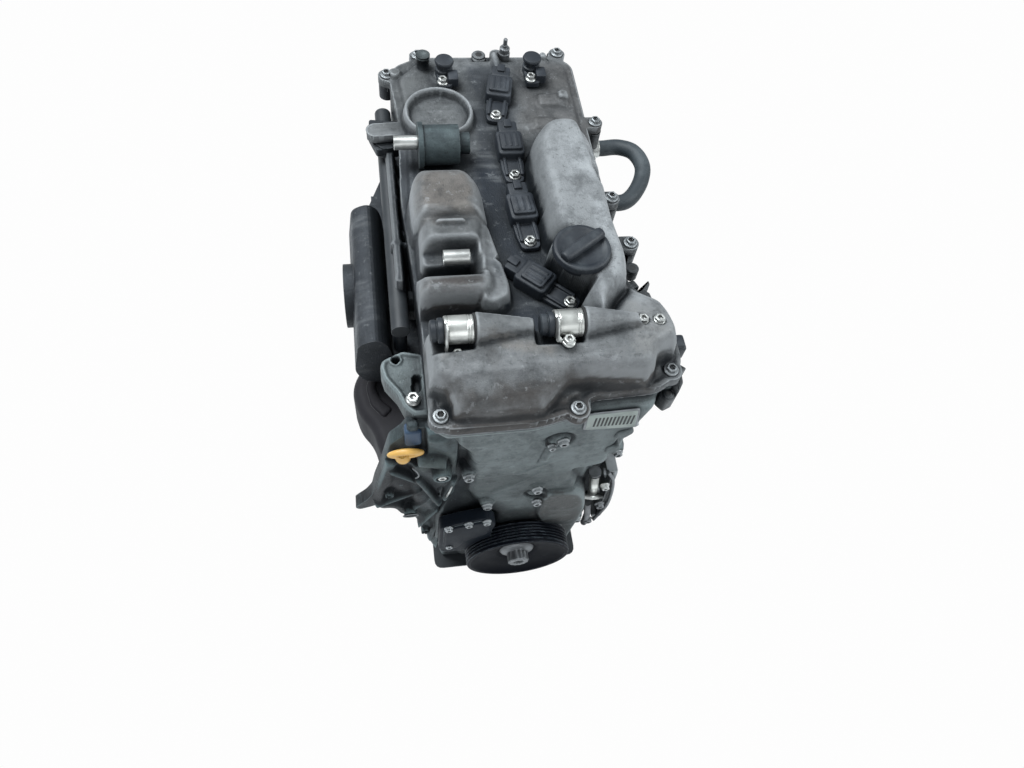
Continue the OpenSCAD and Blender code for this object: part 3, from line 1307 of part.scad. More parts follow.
hose_points = [[106, -128, 302], [114, -128, 302], [122, -128, 302], [132, -128, 303],
               [141, -129, 304], [149, -133, 306], [156, -142, 308], [160, -154, 309],
               [161, -167, 309], [158, -180, 308], [151, -193, 306], [142, -206, 304],
               [132, -212, 303], [122, -212, 302], [114, -212, 302], [106, -212, 302]];
hose_sides = 12;
hose_rows = len(hose_points);
function hose_direction(k) =
    let (a = hose_points[max(k - 1, 0)], b = hose_points[min(k + 1, hose_rows - 1)]) (b - a) / norm(b - a);
function ring_point(centre, direction, r, j) =
    let (side = cross(direction, [0, 0, 1]), u = side / norm(side), v = cross(u, direction),
         a = j * 360 / hose_sides)
    centre + r * (u * cos(a) + v * sin(a));

function skin_index(skin, k, j) = (skin * hose_rows + k) * hose_sides + j % hose_sides;

module bypass_hose() color([0.25, 0.3, 0.33]) {
    skins = [hose_r, spigot_r / cos(180 / hose_sides)];
    points = [for (r = skins, k = [0 : hose_rows - 1], j = [0 : hose_sides - 1])
              ring_point(hose_points[k], hose_direction(k), r, j)];
    walls = [for (skin = [0, 1], k = [0 : hose_rows - 2], j = [0 : hose_sides - 1])
             let (f = [skin_index(skin, k, j), skin_index(skin, k, j + 1),
                       skin_index(skin, k + 1, j + 1), skin_index(skin, k + 1, j)])
             skin == 0 ? f : [f[3], f[2], f[1], f[0]]];
    ends = [for (k = [0, hose_rows - 1], j = [0 : hose_sides - 1])
            let (f = [skin_index(0, k, j), skin_index(1, k, j), skin_index(1, k, j + 1),
                      skin_index(0, k, j + 1)])
            k == 0 ? f : [f[3], f[2], f[1], f[0]]];
    polyhedron(points = points, faces = concat(walls, ends), convexity = 6);
}

module hose_clamps() color([0.6, 0.62, 0.62]) {
    for (y = spigot_ys) difference() {
        union() {
            rod_x(y, spigot_z, 109, 117, hose_r + 1.2);
            block_of(109, 117, y - 2.5, y + 2.5, spigot_z - hose_r - 8, spigot_z - hose_r);
        }
        rod_x(y, spigot_z, 108, 118, hose_r + 0.02);
    }
}

cylinder_block();
main_bearing_caps();
main_cap_bolts();
crankshaft();
crank_sprocket();
crank_pulley();
pulley_bolt();
crank_seals();
rear_seal_housing();
pistons();
piston_rings();
wrist_pins();
lower_crankcase();
oil_pan();
oil_pump();
oil_pickup();
drain_plug();
head_gasket();
cylinder_head();
head_bolts();
spark_plugs();
intake_valves();
exhaust_valves();
valve_springs();
rocker_arms();
intake_camshaft();
exhaust_camshaft();
intake_cam_sprocket();
exhaust_cam_sprocket();
timing_chain();
chain_guide();
tensioner_arm();
chain_tensioner();
camshaft_housing();
cam_cover_gasket();
cam_cover();
flange_bolts();
timing_cover();
timing_cover_bolts();
oil_filler_cap();
ignition_coils();
oil_control_valves();
valve_plugs();
cam_position_sensors();
hose_nipples();
lift_actuator();
intake_manifold();
fuel_rail();
injectors();
side_shield();
front_bracket();
side_bracket();
dipstick();
dipstick_tube();
water_pump();
pump_rotor();
water_outlet();
bypass_hose();
hose_clamps();
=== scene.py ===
"""Car engine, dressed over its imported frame: cast covers, pulley, fittings, hose and studio."""

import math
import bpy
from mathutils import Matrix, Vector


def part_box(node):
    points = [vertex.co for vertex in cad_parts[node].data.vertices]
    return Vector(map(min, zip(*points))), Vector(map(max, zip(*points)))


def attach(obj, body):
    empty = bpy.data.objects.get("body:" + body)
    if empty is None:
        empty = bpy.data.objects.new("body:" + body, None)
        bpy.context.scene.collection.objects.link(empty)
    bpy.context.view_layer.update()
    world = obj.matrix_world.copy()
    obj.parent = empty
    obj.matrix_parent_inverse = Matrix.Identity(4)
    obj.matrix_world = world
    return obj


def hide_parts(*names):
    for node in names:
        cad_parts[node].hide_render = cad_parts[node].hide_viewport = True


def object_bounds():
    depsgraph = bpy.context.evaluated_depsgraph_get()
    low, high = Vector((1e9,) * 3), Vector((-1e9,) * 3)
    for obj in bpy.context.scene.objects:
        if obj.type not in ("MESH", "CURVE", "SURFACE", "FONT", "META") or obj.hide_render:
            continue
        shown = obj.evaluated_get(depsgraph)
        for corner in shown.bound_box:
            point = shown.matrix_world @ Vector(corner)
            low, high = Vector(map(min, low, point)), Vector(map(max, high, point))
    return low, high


bl_info = {
    "name": "Car engine",
    "version": (1, 0, 0),
    "blender": (4, 5, 0),
    "location": "View3D > Sidebar > Engine",
    "description": "Builds the outer castings, fittings and finish of a four-cylinder engine",
    "category": "Add Mesh",
}

import bmesh
import bpy
import numpy as np
from mathutils import Matrix, Vector

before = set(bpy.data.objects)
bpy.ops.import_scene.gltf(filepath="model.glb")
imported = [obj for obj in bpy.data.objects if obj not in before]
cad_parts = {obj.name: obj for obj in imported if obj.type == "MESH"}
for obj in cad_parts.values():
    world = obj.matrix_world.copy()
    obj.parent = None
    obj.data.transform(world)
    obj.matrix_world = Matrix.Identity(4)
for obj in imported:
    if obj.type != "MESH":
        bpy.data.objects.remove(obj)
CAD_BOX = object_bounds()
MM = 0.001
TURN = 2 * math.pi
POLE = 0.05  # radius of a turned shape's end rings, which mended() draws into a point


def box_mm(node):
    """The lowest and highest corner of a CAD node, in millimetres."""
    low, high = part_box(node)
    return np.array(low) / MM, np.array(high) / MM


COVER_Z = box_mm("cam_cover")[0][2]
LABEL_FRONT = 486.6

# ---- shapes as whole arrays


def smooth_max(a, b, blend):
    """The larger of a and b, with the corner between them filled by a parabola as wide as blend."""
    t = np.clip(0.5 + 0.5 * (a - b) / blend, 0, 1)
    return b + (a - b) * t + blend * t * (1 - t)


def shoulder(depth, width, power=2.0):
    """0 at the edge and 1 from width inwards: a quarter of a superellipse of that power."""
    t = np.clip(depth / width, 0, 1)
    return (1 - (1 - t) ** power) ** (1 / power)


def ease(t):
    """0 below 0, 1 above 1, and the cubic 3t2 - 2t3 between."""
    t = np.clip(t, 0, 1)
    return t * t * (3 - 2 * t)


def softened(points, radius, steps=5):
    """A closed outline whose corners are replaced by parabolas that start radius away from them."""
    p = np.array(points, float)
    before, after = np.roll(p, 1, 0) - p, np.roll(p, -1, 0) - p
    reach_a, reach_b = np.linalg.norm(before, axis=1), np.linalg.norm(after, axis=1)
    cut = np.minimum(radius, 0.49 * np.minimum(reach_a, reach_b))[:, None]
    a, b = p + before / reach_a[:, None] * cut, p + after / reach_b[:, None] * cut
    t = np.linspace(0, 1, steps + 1)[None, :, None]
    curve = (1 - t) ** 2 * a[:, None] + 2 * t * (1 - t) * p[:, None] + t**2 * b[:, None]
    return curve.reshape(-1, 2)


def oblong(low, high, radius=2.0, steps=3):
    """A rectangle between two corners with its own corners rounded."""
    return softened([low, (high[0], low[1]), high, (low[0], high[1])], radius, steps)


def circle(centre, radius, sides=28):
    """Points round a circle, without a last one that would repeat the first."""
    a = np.linspace(0, TURN, sides, endpoint=False)
    return np.stack([np.cos(a), np.sin(a)], -1) * radius + centre


# The depth functions say how deep each point lies inside a flat shape, negative outside.


def inside_depth(x, y, outline):
    """Depth in a closed outline: the distance to its nearest side. Which side a point is on
    comes from counting the sides to its right."""
    p = np.array(outline, float)
    nearest = np.full(x.shape, 1e9)
    inside = np.zeros(x.shape, bool)
    for (ax, ay), (bx, by) in zip(p, np.roll(p, -1, 0)):
        dx, dy = bx - ax, by - ay
        t = np.clip(((x - ax) * dx + (y - ay) * dy) / max(dx * dx + dy * dy, 1e-9), 0, 1)
        nearest = np.minimum(nearest, np.hypot(x - ax - t * dx, y - ay - t * dy))
        if ay != by:
            crosses = (ay > y) != (by > y)
            inside ^= crosses & (x < (bx - ax) * (y - ay) / (by - ay) + ax)
    return np.where(inside, nearest, -nearest)


def disc_depth(x, y, centre, radius):
    """Depth in a circle."""
    return radius - np.hypot(x - centre[0], y - centre[1])


def bar_depth(x, y, a, b, radius):
    """Depth in a straight bar with round ends."""
    a, b = np.array(a, float), np.array(b, float)
    run = b - a
    t = np.clip(((x - a[0]) * run[0] + (y - a[1]) * run[1]) / max(run.dot(run), 1e-9), 0, 1)
    return radius - np.hypot(x - a[0] - t * run[0], y - a[1] - t * run[1])


def between(t, low, high):
    """Depth in the stripe from low to high."""
    return np.minimum(t - low, high - t)


def box_depth(x, y, low, high):
    """Depth in an upright rectangle."""
    return np.minimum(between(x, low[0], high[0]), between(y, low[1], high[1]))


# Each of these takes the surface h so far and gives it back with one more form.


def raised(h, depth, rise, width, power, blend, base=0):
    """A form on a base: its depth goes through a rounded shoulder and is filleted into h."""
    return smooth_max(h, base + rise * shoulder(depth, width, power), blend)


def boss(h, depth, top, run, blend):
    """A round seat up to top, its wall as wide as run."""
    return smooth_max(h, top * ease(depth / run), blend)


def cut(h, depth, level):
    """Nothing stands above the level where depth is positive."""
    return np.where(depth > 0, np.minimum(h, level), h)


# ---- pieces


def dress(piece, finish):
    """Gives a piece one finish in place of any materials it has."""
    piece.data.materials.clear()
    piece.data.materials.append(finishes()[finish])
    return piece


def sharpen(piece, degrees):
    """Keeps edges that turn more than this angle crisp."""
    piece.data.set_sharp_from_angle(angle=math.radians(degrees))
    return piece


def mended(piece):
    """Closes the poles of a turned piece and points its faces outwards."""
    mesh = bmesh.new()
    mesh.from_mesh(piece.data)
    bmesh.ops.remove_doubles(mesh, verts=mesh.verts, dist=0.00006)
    bmesh.ops.recalc_face_normals(mesh, faces=mesh.faces)
    mesh.to_mesh(piece.data)
    mesh.free()
    return piece


def new_object(name, points, faces, finish, body="engine"):
    """Makes a smooth mesh from points in millimetres and its faces, riding on a CAD body."""
    mesh = bpy.data.meshes.new(name)
    mesh.from_pydata((np.asarray(points, float) * MM).tolist(), [], faces)
    mesh.validate()
    mesh.update()
    mesh.polygons.foreach_set("use_smooth", np.ones(len(mesh.polygons), bool))
    piece = bpy.data.objects.new(name, mesh)
    bpy.context.scene.collection.objects.link(piece)
    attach(piece, body)
    return dress(piece, finish)


def join_all(name, pieces):
    """Joins several objects into one that keeps their materials and rides where the first does."""
    bpy.ops.object.select_all(action="DESELECT")
    for piece in pieces:
        piece.select_set(True)
    bpy.context.view_layer.objects.active = pieces[0]
    bpy.ops.object.join()
    pieces[0].name = name
    return pieces[0]


AXES = {
    "top": lambda u, v, h: np.stack([u, v, h], -1),
    "front": lambda u, v, h: np.stack([u, -h, v], -1),
}


def blurred(field, rounds):
    """Each value averaged with its four neighbours, over and over."""
    for _ in range(rounds):
        wide = np.pad(field, 1, mode="edge")
        field = (wide[:-2, 1:-1] + wide[2:, 1:-1] + wide[1:-1, :-2] + wide[1:-1, 2:] + field) / 5
    return field


def widened(chosen):
    """The chosen grid points and all their neighbours."""
    wide = np.pad(chosen, 1)
    rows, columns = chosen.shape
    return np.any([wide[i:i + rows, j:j + columns] for i in range(3) for j in range(3)], axis=0)


def relief(name, depth_at, bounds, height, foot, cell, facing, finish, rounds=1):
    """A casting seen along one direction: the surface h = height(u, v) over a grid of u and v,
    kept where depth_at(u, v) is positive. Two rows of points outside are moved to the outline:
    the first stays at the surface and the second drops to the foot as an upright wall. The
    attribute "hollow" says how far each point lies below (or above) its surroundings."""
    (low_u, low_v), (high_u, high_v) = bounds
    u, v = np.meshgrid(np.arange(low_u, high_u, cell), np.arange(low_v, high_v, cell), indexing="ij")
    depth = depth_at(u, v)
    grad_u, grad_v = np.gradient(depth, cell)
    size = np.maximum(np.hypot(grad_u, grad_v), 1e-6)
    inner = depth >= 0.4 * cell
    rim = widened(inner) & ~inner
    wall = widened(rim) & ~inner & ~rim
    move = np.where(rim | wall, -depth, 0)
    u, v = u + move * grad_u / size, v + move * grad_v / size
    rise = blurred(height(u, v), rounds)

    # the cast finish darkens hollows with dirt and painted shade and lightens raised points with wear and a painted
    # highlight; points at the outline count as raised
    level = np.where(depth > 0, rise, rise - 4)
    fine, broad = blurred(level, 3) - level, blurred(level, 80) - level
    hollow = np.clip(fine / 1.6, -1, 1) + np.clip(broad / 12, -0.4, 0.25)
    hollow = np.where(depth < 0.3 * cell, np.minimum(hollow, -0.2), hollow)

    points = AXES[facing](u, v, np.where(wall, foot, rise)).reshape(-1, 3)
    quads = grid_faces(*u.shape, closed_columns=False)
    kept = (inner | rim | wall).ravel()[quads].all(1) & (inner | rim).ravel()[quads].any(1)
    used, index = np.unique(quads[kept], return_inverse=True)
    piece = new_object(name, points[used], index.reshape(-1, 4).tolist(), finish)
    values = piece.data.attributes.new("hollow", "FLOAT", "POINT")
    values.data.foreach_set("value", np.clip(hollow.ravel()[used], -1, 1).astype(np.float32))
    return piece


def outlined(name, outline, height, foot, cell, facing, finish):
    """A relief inside one closed outline."""
    return relief(name, lambda u, v: inside_depth(u, v, outline), (outline.min(0) - 4, outline.max(0) + 4),
                  height, foot, cell, facing, finish)


def grid_faces(rows, columns, closed_rows=False, closed_columns=True):
    """Quads of a grid of points, joined round in either direction where closed."""
    i, j = np.meshgrid(np.arange(rows if closed_rows else rows - 1),
                       np.arange(columns if closed_columns else columns - 1), indexing="ij")
    a, b = i.ravel(), j.ravel()
    c, d = (a + 1) % rows, (b + 1) % columns
    return np.stack([a * columns + b, c * columns + b, c * columns + d, a * columns + d], -1)


def capped(rings, sides):
    """Faces of rings of points on one another, turned outwards, with a flat cap at both ends."""
    faces, last = grid_faces(rings, sides)[:, ::-1].tolist(), (rings - 1) * sides
    return faces, list(range(sides)), list(range(last, last + sides))


def plate(outline, low, high, finish, facing="top", bevel=0.8, turns=4):
    """An outline drawn out from low to high along its facing, the upper edge on a quarter round."""
    p = np.array(outline, float)
    ahead = np.roll(p, -1, 0)
    if (p[:, 0] * ahead[:, 1] - p[:, 1] * ahead[:, 0]).sum() < 0:
        p = p[::-1]
    run = np.roll(p, -1, 0) - np.roll(p, 1, 0)
    normal = np.stack([run[:, 1], -run[:, 0]], -1) / np.maximum(np.hypot(*run.T), 1e-9)[:, None]
    rings = [(0, low)] + [(bevel * (1 - math.cos(a)), high - bevel * (1 - math.sin(a)))
                          for a in np.linspace(0, math.pi / 2, turns)]
    points = np.concatenate([AXES[facing](*(p - normal * inset).T, np.full(len(p), float(h)))
                             for inset, h in rings])
    faces, first, last = capped(len(rings), len(p))
    return sharpen(new_object("plate", points, faces + [first[::-1], last], finish), 50)


def turned(name, profile, axis, centre, finish, body="engine", sides=64, lobes=None, base=0, crisp=35, close=True):
    """A lathe shape: each profile pair (r, s) is a ring of radius r at base + s along the axis,
    closed to a point at both ends. lobes(angle, r, s) may scale the radius, as for hexagons."""
    profile = np.array(profile, float)
    angle = np.linspace(0, TURN, sides, endpoint=False)[None]
    r, s = profile[:, :1], profile[:, 1:] + 0 * angle
    r = r * (lobes(angle, r, s) if lobes else 1)
    a, b, s = r * np.cos(angle), r * np.sin(angle), s + base
    order = {"x": (s, a, b), "z": (a, b, s), "-y": (a, -s, b)}[axis]
    points = np.stack(order, -1).reshape(-1, 3) + np.array(centre, float)
    piece = new_object(name, points, grid_faces(len(profile), sides).tolist(), finish, body)
    if close:
        mended(piece)
    return sharpen(piece, crisp) if crisp else piece


def swept(path, radius, finish, body="engine", sides=20, squash=(1, 1), name="bar"):
    """A round or oval bar along a path: at each point a ring stands across the path, kept from
    twisting by carrying one side direction along. radius may be one value or one per point."""
    path = np.array(path, float)
    tangent = np.gradient(path, axis=0)
    tangent /= np.linalg.norm(tangent, axis=1)[:, None]
    side, carried = np.cross(tangent[0], [0.13, 0.21, 1.0]), []
    for t in tangent:
        side = side - t * side.dot(t)
        side = side / np.linalg.norm(side)
        carried.append(side)
    side = np.array(carried)
    up = np.cross(tangent, side)
    radius = np.broadcast_to(radius, len(path))[:, None, None]
    angle = np.linspace(0, TURN, sides, endpoint=False)[None, :, None]
    ring = side[:, None] * np.cos(angle) * squash[0] + up[:, None] * np.sin(angle) * squash[1]
    faces, first, last = capped(len(path), sides)
    return new_object(name, (path[:, None] + radius * ring).reshape(-1, 3), faces + [first, last[::-1]],
                      finish, body)


def rounded_path(points, steps=8):
    """A smooth line through the points: Catmull-Rom cubics between each pair of neighbours."""
    p = np.array(points, float)
    p = np.vstack([2 * p[0] - p[1], p, 2 * p[-1] - p[-2]])
    t = np.linspace(0, 1, steps, endpoint=False)[:, None]
    out = []
    for a, b, c, d in zip(p, p[1:], p[2:], p[3:]):
        m, n = (c - a) / 2, (d - b) / 2
        out.append((2 * t**3 - 3 * t**2 + 1) * b + (t**3 - 2 * t**2 + t) * m
                   + (3 * t**2 - 2 * t**3) * c + (t**3 - t**2) * n)
    return np.vstack([*out, p[-2][None]])


def hexagon(start):
    """A lobes function: rings past start along the axis are hexagons, the others stay round."""
    def scale(angle, r, s):
        a = np.mod(angle, math.pi / 3) - math.pi / 6
        return np.where(s > start, math.cos(math.pi / 6) / np.cos(a), 1.0)
    return scale


def bolt(centre, axis, head, height=6.0, finish="bright steel"):
    """A flange bolt's head: a dished washer, a chamfered hexagon and a hollow in its top."""
    k = head / 6.0
    profile = [(POLE, 0), (8.2 * k, 0), (8.4 * k, 0.6), (8.0 * k, 1.3), (6.9 * k, 2.0), (6.9 * k, 2.01),
               (6.9 * k, height - 0.8), (6.1 * k, height), (3.6 * k, height), (3.2 * k, height - 2.6),
               (POLE, height - 3.0)]
    return turned("bolt", profile, axis, centre, finish, sides=36, lobes=hexagon(2.005), crisp=40, close=False)


# ---- sizes and colours


class EngineSizes(bpy.types.PropertyGroup):
    """Sizes of the outer shapes that the CAD nodes leave open."""

    cover_cell: bpy.props.FloatProperty(
        name="Cover grid", description="Spacing of the grid that the cam cover is worked out on, in millimetres",
        default=1.25, min=1.0, max=4.0)
    case_cell: bpy.props.FloatProperty(
        name="Case grid", description="Spacing of the grid that the chain case is worked out on, in millimetres",
        default=1.4, min=1.0, max=4.0)
    fillet: bpy.props.FloatProperty(
        name="Casting fillet", description="Width of the fillets between the cover's cast forms, in millimetres",
        default=7.0, min=1.0, max=15.0)
    edge_radius: bpy.props.FloatProperty(
        name="Edge rounding", description="Radius that worn machined edges catch the light with",
        default=0.0012, min=0.0, max=0.004, unit="LENGTH")


class EngineColours(bpy.types.PropertyGroup):
    """Base colours of the finishes."""

    cover: bpy.props.FloatVectorProperty(
        name="Cam cover", description="Weathered cast alloy of the cam cover", subtype="COLOR", size=3,
        default=(0.105, 0.11, 0.112), min=0, max=1)
    cover_light: bpy.props.FloatVectorProperty(
        name="Cover, cleaner alloy", description="Paler alloy on the exhaust side hump", subtype="COLOR", size=3,
        default=(0.30, 0.315, 0.325), min=0, max=1)
    case: bpy.props.FloatVectorProperty(
        name="Chain case", description="Grey-green alloy of the chain case", subtype="COLOR", size=3,
        default=(0.085, 0.10, 0.102), min=0, max=1)
    # dark oily dirt; the finishes also use it as painted shade in corners and hollows, and to darken the engine towards
    # the bottom
    grime_and_shade: bpy.props.FloatVectorProperty(
        name="Grime", description="Dark oily dirt in corners and low on the engine", subtype="COLOR", size=3,
        default=(0.008, 0.011, 0.014), min=0, max=1)
    plastic: bpy.props.FloatVectorProperty(
        name="Black plastic", description="Coils, plugs and cap", subtype="COLOR", size=3,
        default=(0.010, 0.014, 0.020), min=0, max=1)
    hose: bpy.props.FloatVectorProperty(
        name="Hose rubber", description="Bypass hose", subtype="COLOR", size=3,
        default=(0.022, 0.03, 0.036), min=0, max=1)
    handle: bpy.props.FloatVectorProperty(
        name="Dipstick handle", description="Yellow plastic handle", subtype="COLOR", size=3,
        default=(0.72, 0.42, 0.10), min=0, max=1)


# ---- finishes


def shade(tone, share):
    """A colour made darker or lighter by a share."""
    return tuple(min(1, share * c) for c in tone)


class Finish:
    """A material whose nodes are added one by one and joined by name."""

    def __init__(self, name, wear=1.0):
        self.material = bpy.data.materials.new(name)
        self.material.use_nodes = True
        self.tree = self.material.node_tree
        self.shader = self.tree.nodes["Principled BSDF"]
        self.edge = bpy.context.scene.engine_sizes.edge_radius * wear
        self.place = self.add("ShaderNodeTexCoord").outputs["Object"]
        blur = self.add("ShaderNodeVectorMath", {0: self.noise(24, 4, 0.6, None, "Color"), 1: (0.05,) * 3,
                                                 2: (-0.025,) * 3}, operation="MULTIPLY_ADD").outputs[0]
        ragged = self.add("ShaderNodeVectorMath", {0: self.place, 1: blur}, operation="ADD").outputs[0]
        self.ragged = self.add("ShaderNodeSeparateXYZ", {0: ragged}).outputs

    def add(self, kind, sockets=None, **settings):
        node = self.tree.nodes.new(kind)
        for key, value in settings.items():
            setattr(node, key, value)
        for key, value in (sockets or {}).items():
            self.feed(node.inputs[key], value)
        return node

    def feed(self, socket, value):
        if isinstance(value, bpy.types.NodeSocket):
            self.tree.links.new(value, socket)
        else:
            socket.default_value = (*value, 1) if socket.type == "RGBA" and len(value) == 3 else value

    def noise(self, scale, detail=3.0, rough=0.55, stretch=None, output="Fac"):
        place = self.place
        if stretch:
            place = self.add("ShaderNodeMapping", {"Vector": place, "Scale": stretch}).outputs[0]
        return self.add("ShaderNodeTexNoise", {"Vector": place, "Scale": scale, "Detail": detail,
                                               "Roughness": rough}).outputs[output]

    def band(self, value, low, high):
        """0 below low and 1 above high."""
        return self.add("ShaderNodeMapRange", {"Value": value, "From Min": low, "From Max": high},
                        interpolation_type="SMOOTHSTEP").outputs["Result"]

    def patches(self, low, high, *noise):
        """1 where a noise stands above high, 0 where it lies below low."""
        return self.band(self.noise(*noise), low, high)

    def math(self, operation, a, b):
        return self.add("ShaderNodeMath", {0: a, 1: b}, operation=operation).outputs[0]

    def times(self, a, b):
        return self.math("MULTIPLY", a, b)

    def uneven(self, base, share, *noise):
        """A base value with a share of noise added."""
        return self.math("ADD", base, self.times(self.noise(*noise), share))

    def over(self, below, tone, amount, share=None):
        """A tone laid over a colour by an amount, and by a share of that amount."""
        node = self.add("ShaderNodeMix", data_type="RGBA")
        for key, value in (("Factor", amount if share is None else self.times(amount, share)), (6, below), (7, tone)):
            self.feed(node.inputs[key], value)
        return node.outputs[2]

    def zone(self, low_mm, high_mm, soft_mm):
        """1 inside a box given by two corners, 0 past its soft rim, with the edge broken up."""
        share = None
        for axis in range(3):
            for limit, sign in ((low_mm[axis], 1), (high_mm[axis], -1)):
                if limit is not None:
                    side = self.band(self.ragged[axis], (limit - sign * soft_mm) * MM, (limit + sign * soft_mm) * MM)
                    share = side if share is None else self.times(share, side)
        return share

    def corners(self, distance, low=0.35, high=0.85):
        """1 in hollows that the sky hardly reaches, 0 in the open."""
        node = self.add("ShaderNodeAmbientOcclusion", {"Distance": distance}, samples=6)
        return self.band(node.outputs["AO"], high, low)

    def worn_edges(self):
        """1 on outer edges, from how far a rounded normal leans away from the true one."""
        rounded = self.add("ShaderNodeBevel", {"Radius": self.edge}, samples=4).outputs["Normal"]
        true = self.add("ShaderNodeNewGeometry").outputs["Normal"]
        lean = self.add("ShaderNodeVectorMath", {0: rounded, 1: true}, operation="DOT_PRODUCT").outputs["Value"]
        return rounded, self.band(self.math("SUBTRACT", 1.0, lean), 0.03, 0.22)

    def done(self, colour, rough, grain, rounded, metal=0.0, specular=0.5, coat=0.0):
        """Feeds the shader; grain is the bump's height, strength and distance."""
        bump = self.add("ShaderNodeBump", dict(zip(("Height", "Strength", "Distance"), grain)) | {"Normal": rounded})
        for key, value in (("Base Color", colour), ("Roughness", rough), ("Metallic", metal),
                           ("Specular IOR Level", specular), ("Coat Weight", coat), ("Normal", bump.outputs["Normal"])):
            self.feed(self.shader.inputs[key], value)


def cast_alloy(name, base, pale, dirt_and_shade, zones=(), corner_reach=0.02, corner_dirt_and_shade=0.5):
    """Sand-cast aluminium: a grainy skin, broad patches of oxide, streaks, tones in given boxes
    (low corner, high corner, soft rim, tone, share), some of them painted highlights, some painted shade,
    hollows and corners dark with dirt and painted shade, ridges and rims pale with wear and a painted
    highlight, and pale worn edges."""
    f = Finish(name)
    colour = f.over(base, pale, f.patches(0.38, 0.64, 14, 5, 0.62))
    for low, high, soft, tone, amount in zones:
        colour = f.over(colour, tone, f.zone(low, high, soft), amount)
    for tone, share, noise in ((dirt_and_shade, 0.5, (0.42, 0.68, 46, 6, 0.72)),
                               (shade(pale, 1.5), 0.4, (0.52, 0.72, 22, 4, 0.6, (0.45, 2.6, 1.0))),
                               (shade(base, 0.3), 0.5, (0.58, 0.7, 260, 3, 0.7)),
                               (shade(pale, 1.7), 0.38, (0.58, 0.66, 110, 5, 0.75))):
        colour = f.over(colour, tone, f.patches(*noise), share)
    crease = f.add("ShaderNodeAttribute", attribute_name="hollow").outputs["Fac"]
    ragged = f.times(f.math("SUBTRACT", f.noise(170, 5, 0.75), 0.5), 0.4)
    # ridges and rims that stand above their surroundings are made paler: partly wear, partly a painted highlight
    colour = f.over(colour, shade(pale, 1.9), f.band(f.math("SUBTRACT", ragged, crease), 0.25, 0.9), 0.65)
    # hollows are made darker: partly dirt, partly painted shade
    colour = f.over(colour, dirt_and_shade, f.band(f.math("ADD", crease, ragged), 0.08, 0.7), 0.6)
    # corners that the sky hardly reaches are darkened: dirt and painted shade
    colour = f.over(colour, dirt_and_shade, f.times(f.corners(corner_reach, 0.45, 1.0), f.uneven(corner_dirt_and_shade, 0.6, 40, 3)))
    rounded, worn = f.worn_edges()
    worn = f.times(worn, f.patches(0.35, 0.6, 120, 2))
    colour = f.over(colour, tuple(min(1, 1.6 * c + 0.06) for c in pale), worn, 0.6)
    f.done(colour, f.uneven(0.5, 0.18, 50, 3), (f.uneven(f.noise(900, 2, 0.6), 1.4, 120, 4, 0.65), 0.6, 0.0008),
           rounded, 0.4)


def machined_metal(name, base, rough=0.3, corner_dirt_and_shade=0.6, metal=0.9):
    """Turned or plated steel: a fine grain, dulled unevenly, with dirt and painted shade in the corners."""
    f = Finish(name)
    colour = f.over(base, shade(base, 0.66), f.patches(0.4, 0.7, 60, 4, 0.6))
    # corners darkened: dirt and painted shade
    colour = f.over(colour, (0.05, 0.05, 0.05), f.corners(0.006), corner_dirt_and_shade)
    rounded, worn = f.worn_edges()
    colour = f.over(colour, shade(base, 1.35), worn, 0.5)
    f.done(colour, f.uneven(rough, 0.2, 90, 3), (f.noise(700, 2), 0.15, 0.0003), rounded, metal)


def moulded(name, base, rough=0.45, dust=(0.10, 0.115, 0.125), dusty=0.35, coat=0.0, wear=1.0):
    """Moulded plastic or rubber with dull dust and a slightly worn edge."""
    f = Finish(name, wear)
    colour = f.over(base, dust, f.patches(0.45, 0.75, 28, 4, 0.65), dusty)
    rounded, worn = f.worn_edges()
    colour = f.over(colour, dust, worn, 0.35)
    grain = f.math("ADD", f.noise(500, 3), f.noise(60, 3))
    f.done(colour, f.uneven(rough, 0.25, 35, 4), (grain, 0.25, 0.0004), rounded, coat=coat)


def painted(name, base, bare, rough, dust, dusty, specular=0.5):
    """Dark paint over steel, rubbed to bright metal along the edges."""
    f = Finish(name)
    colour = f.over(base, dust, f.patches(0.45, 0.8, 30, 4, 0.6), dusty)
    rounded, worn = f.worn_edges()
    worn = f.times(worn, f.patches(0.3, 0.55, 90, 3))
    f.done(f.over(colour, bare, worn), f.uneven(rough, 0.2, 40, 3), (f.noise(300, 3), 0.2, 0.0004), rounded,
           f.times(worn, 0.8), specular)


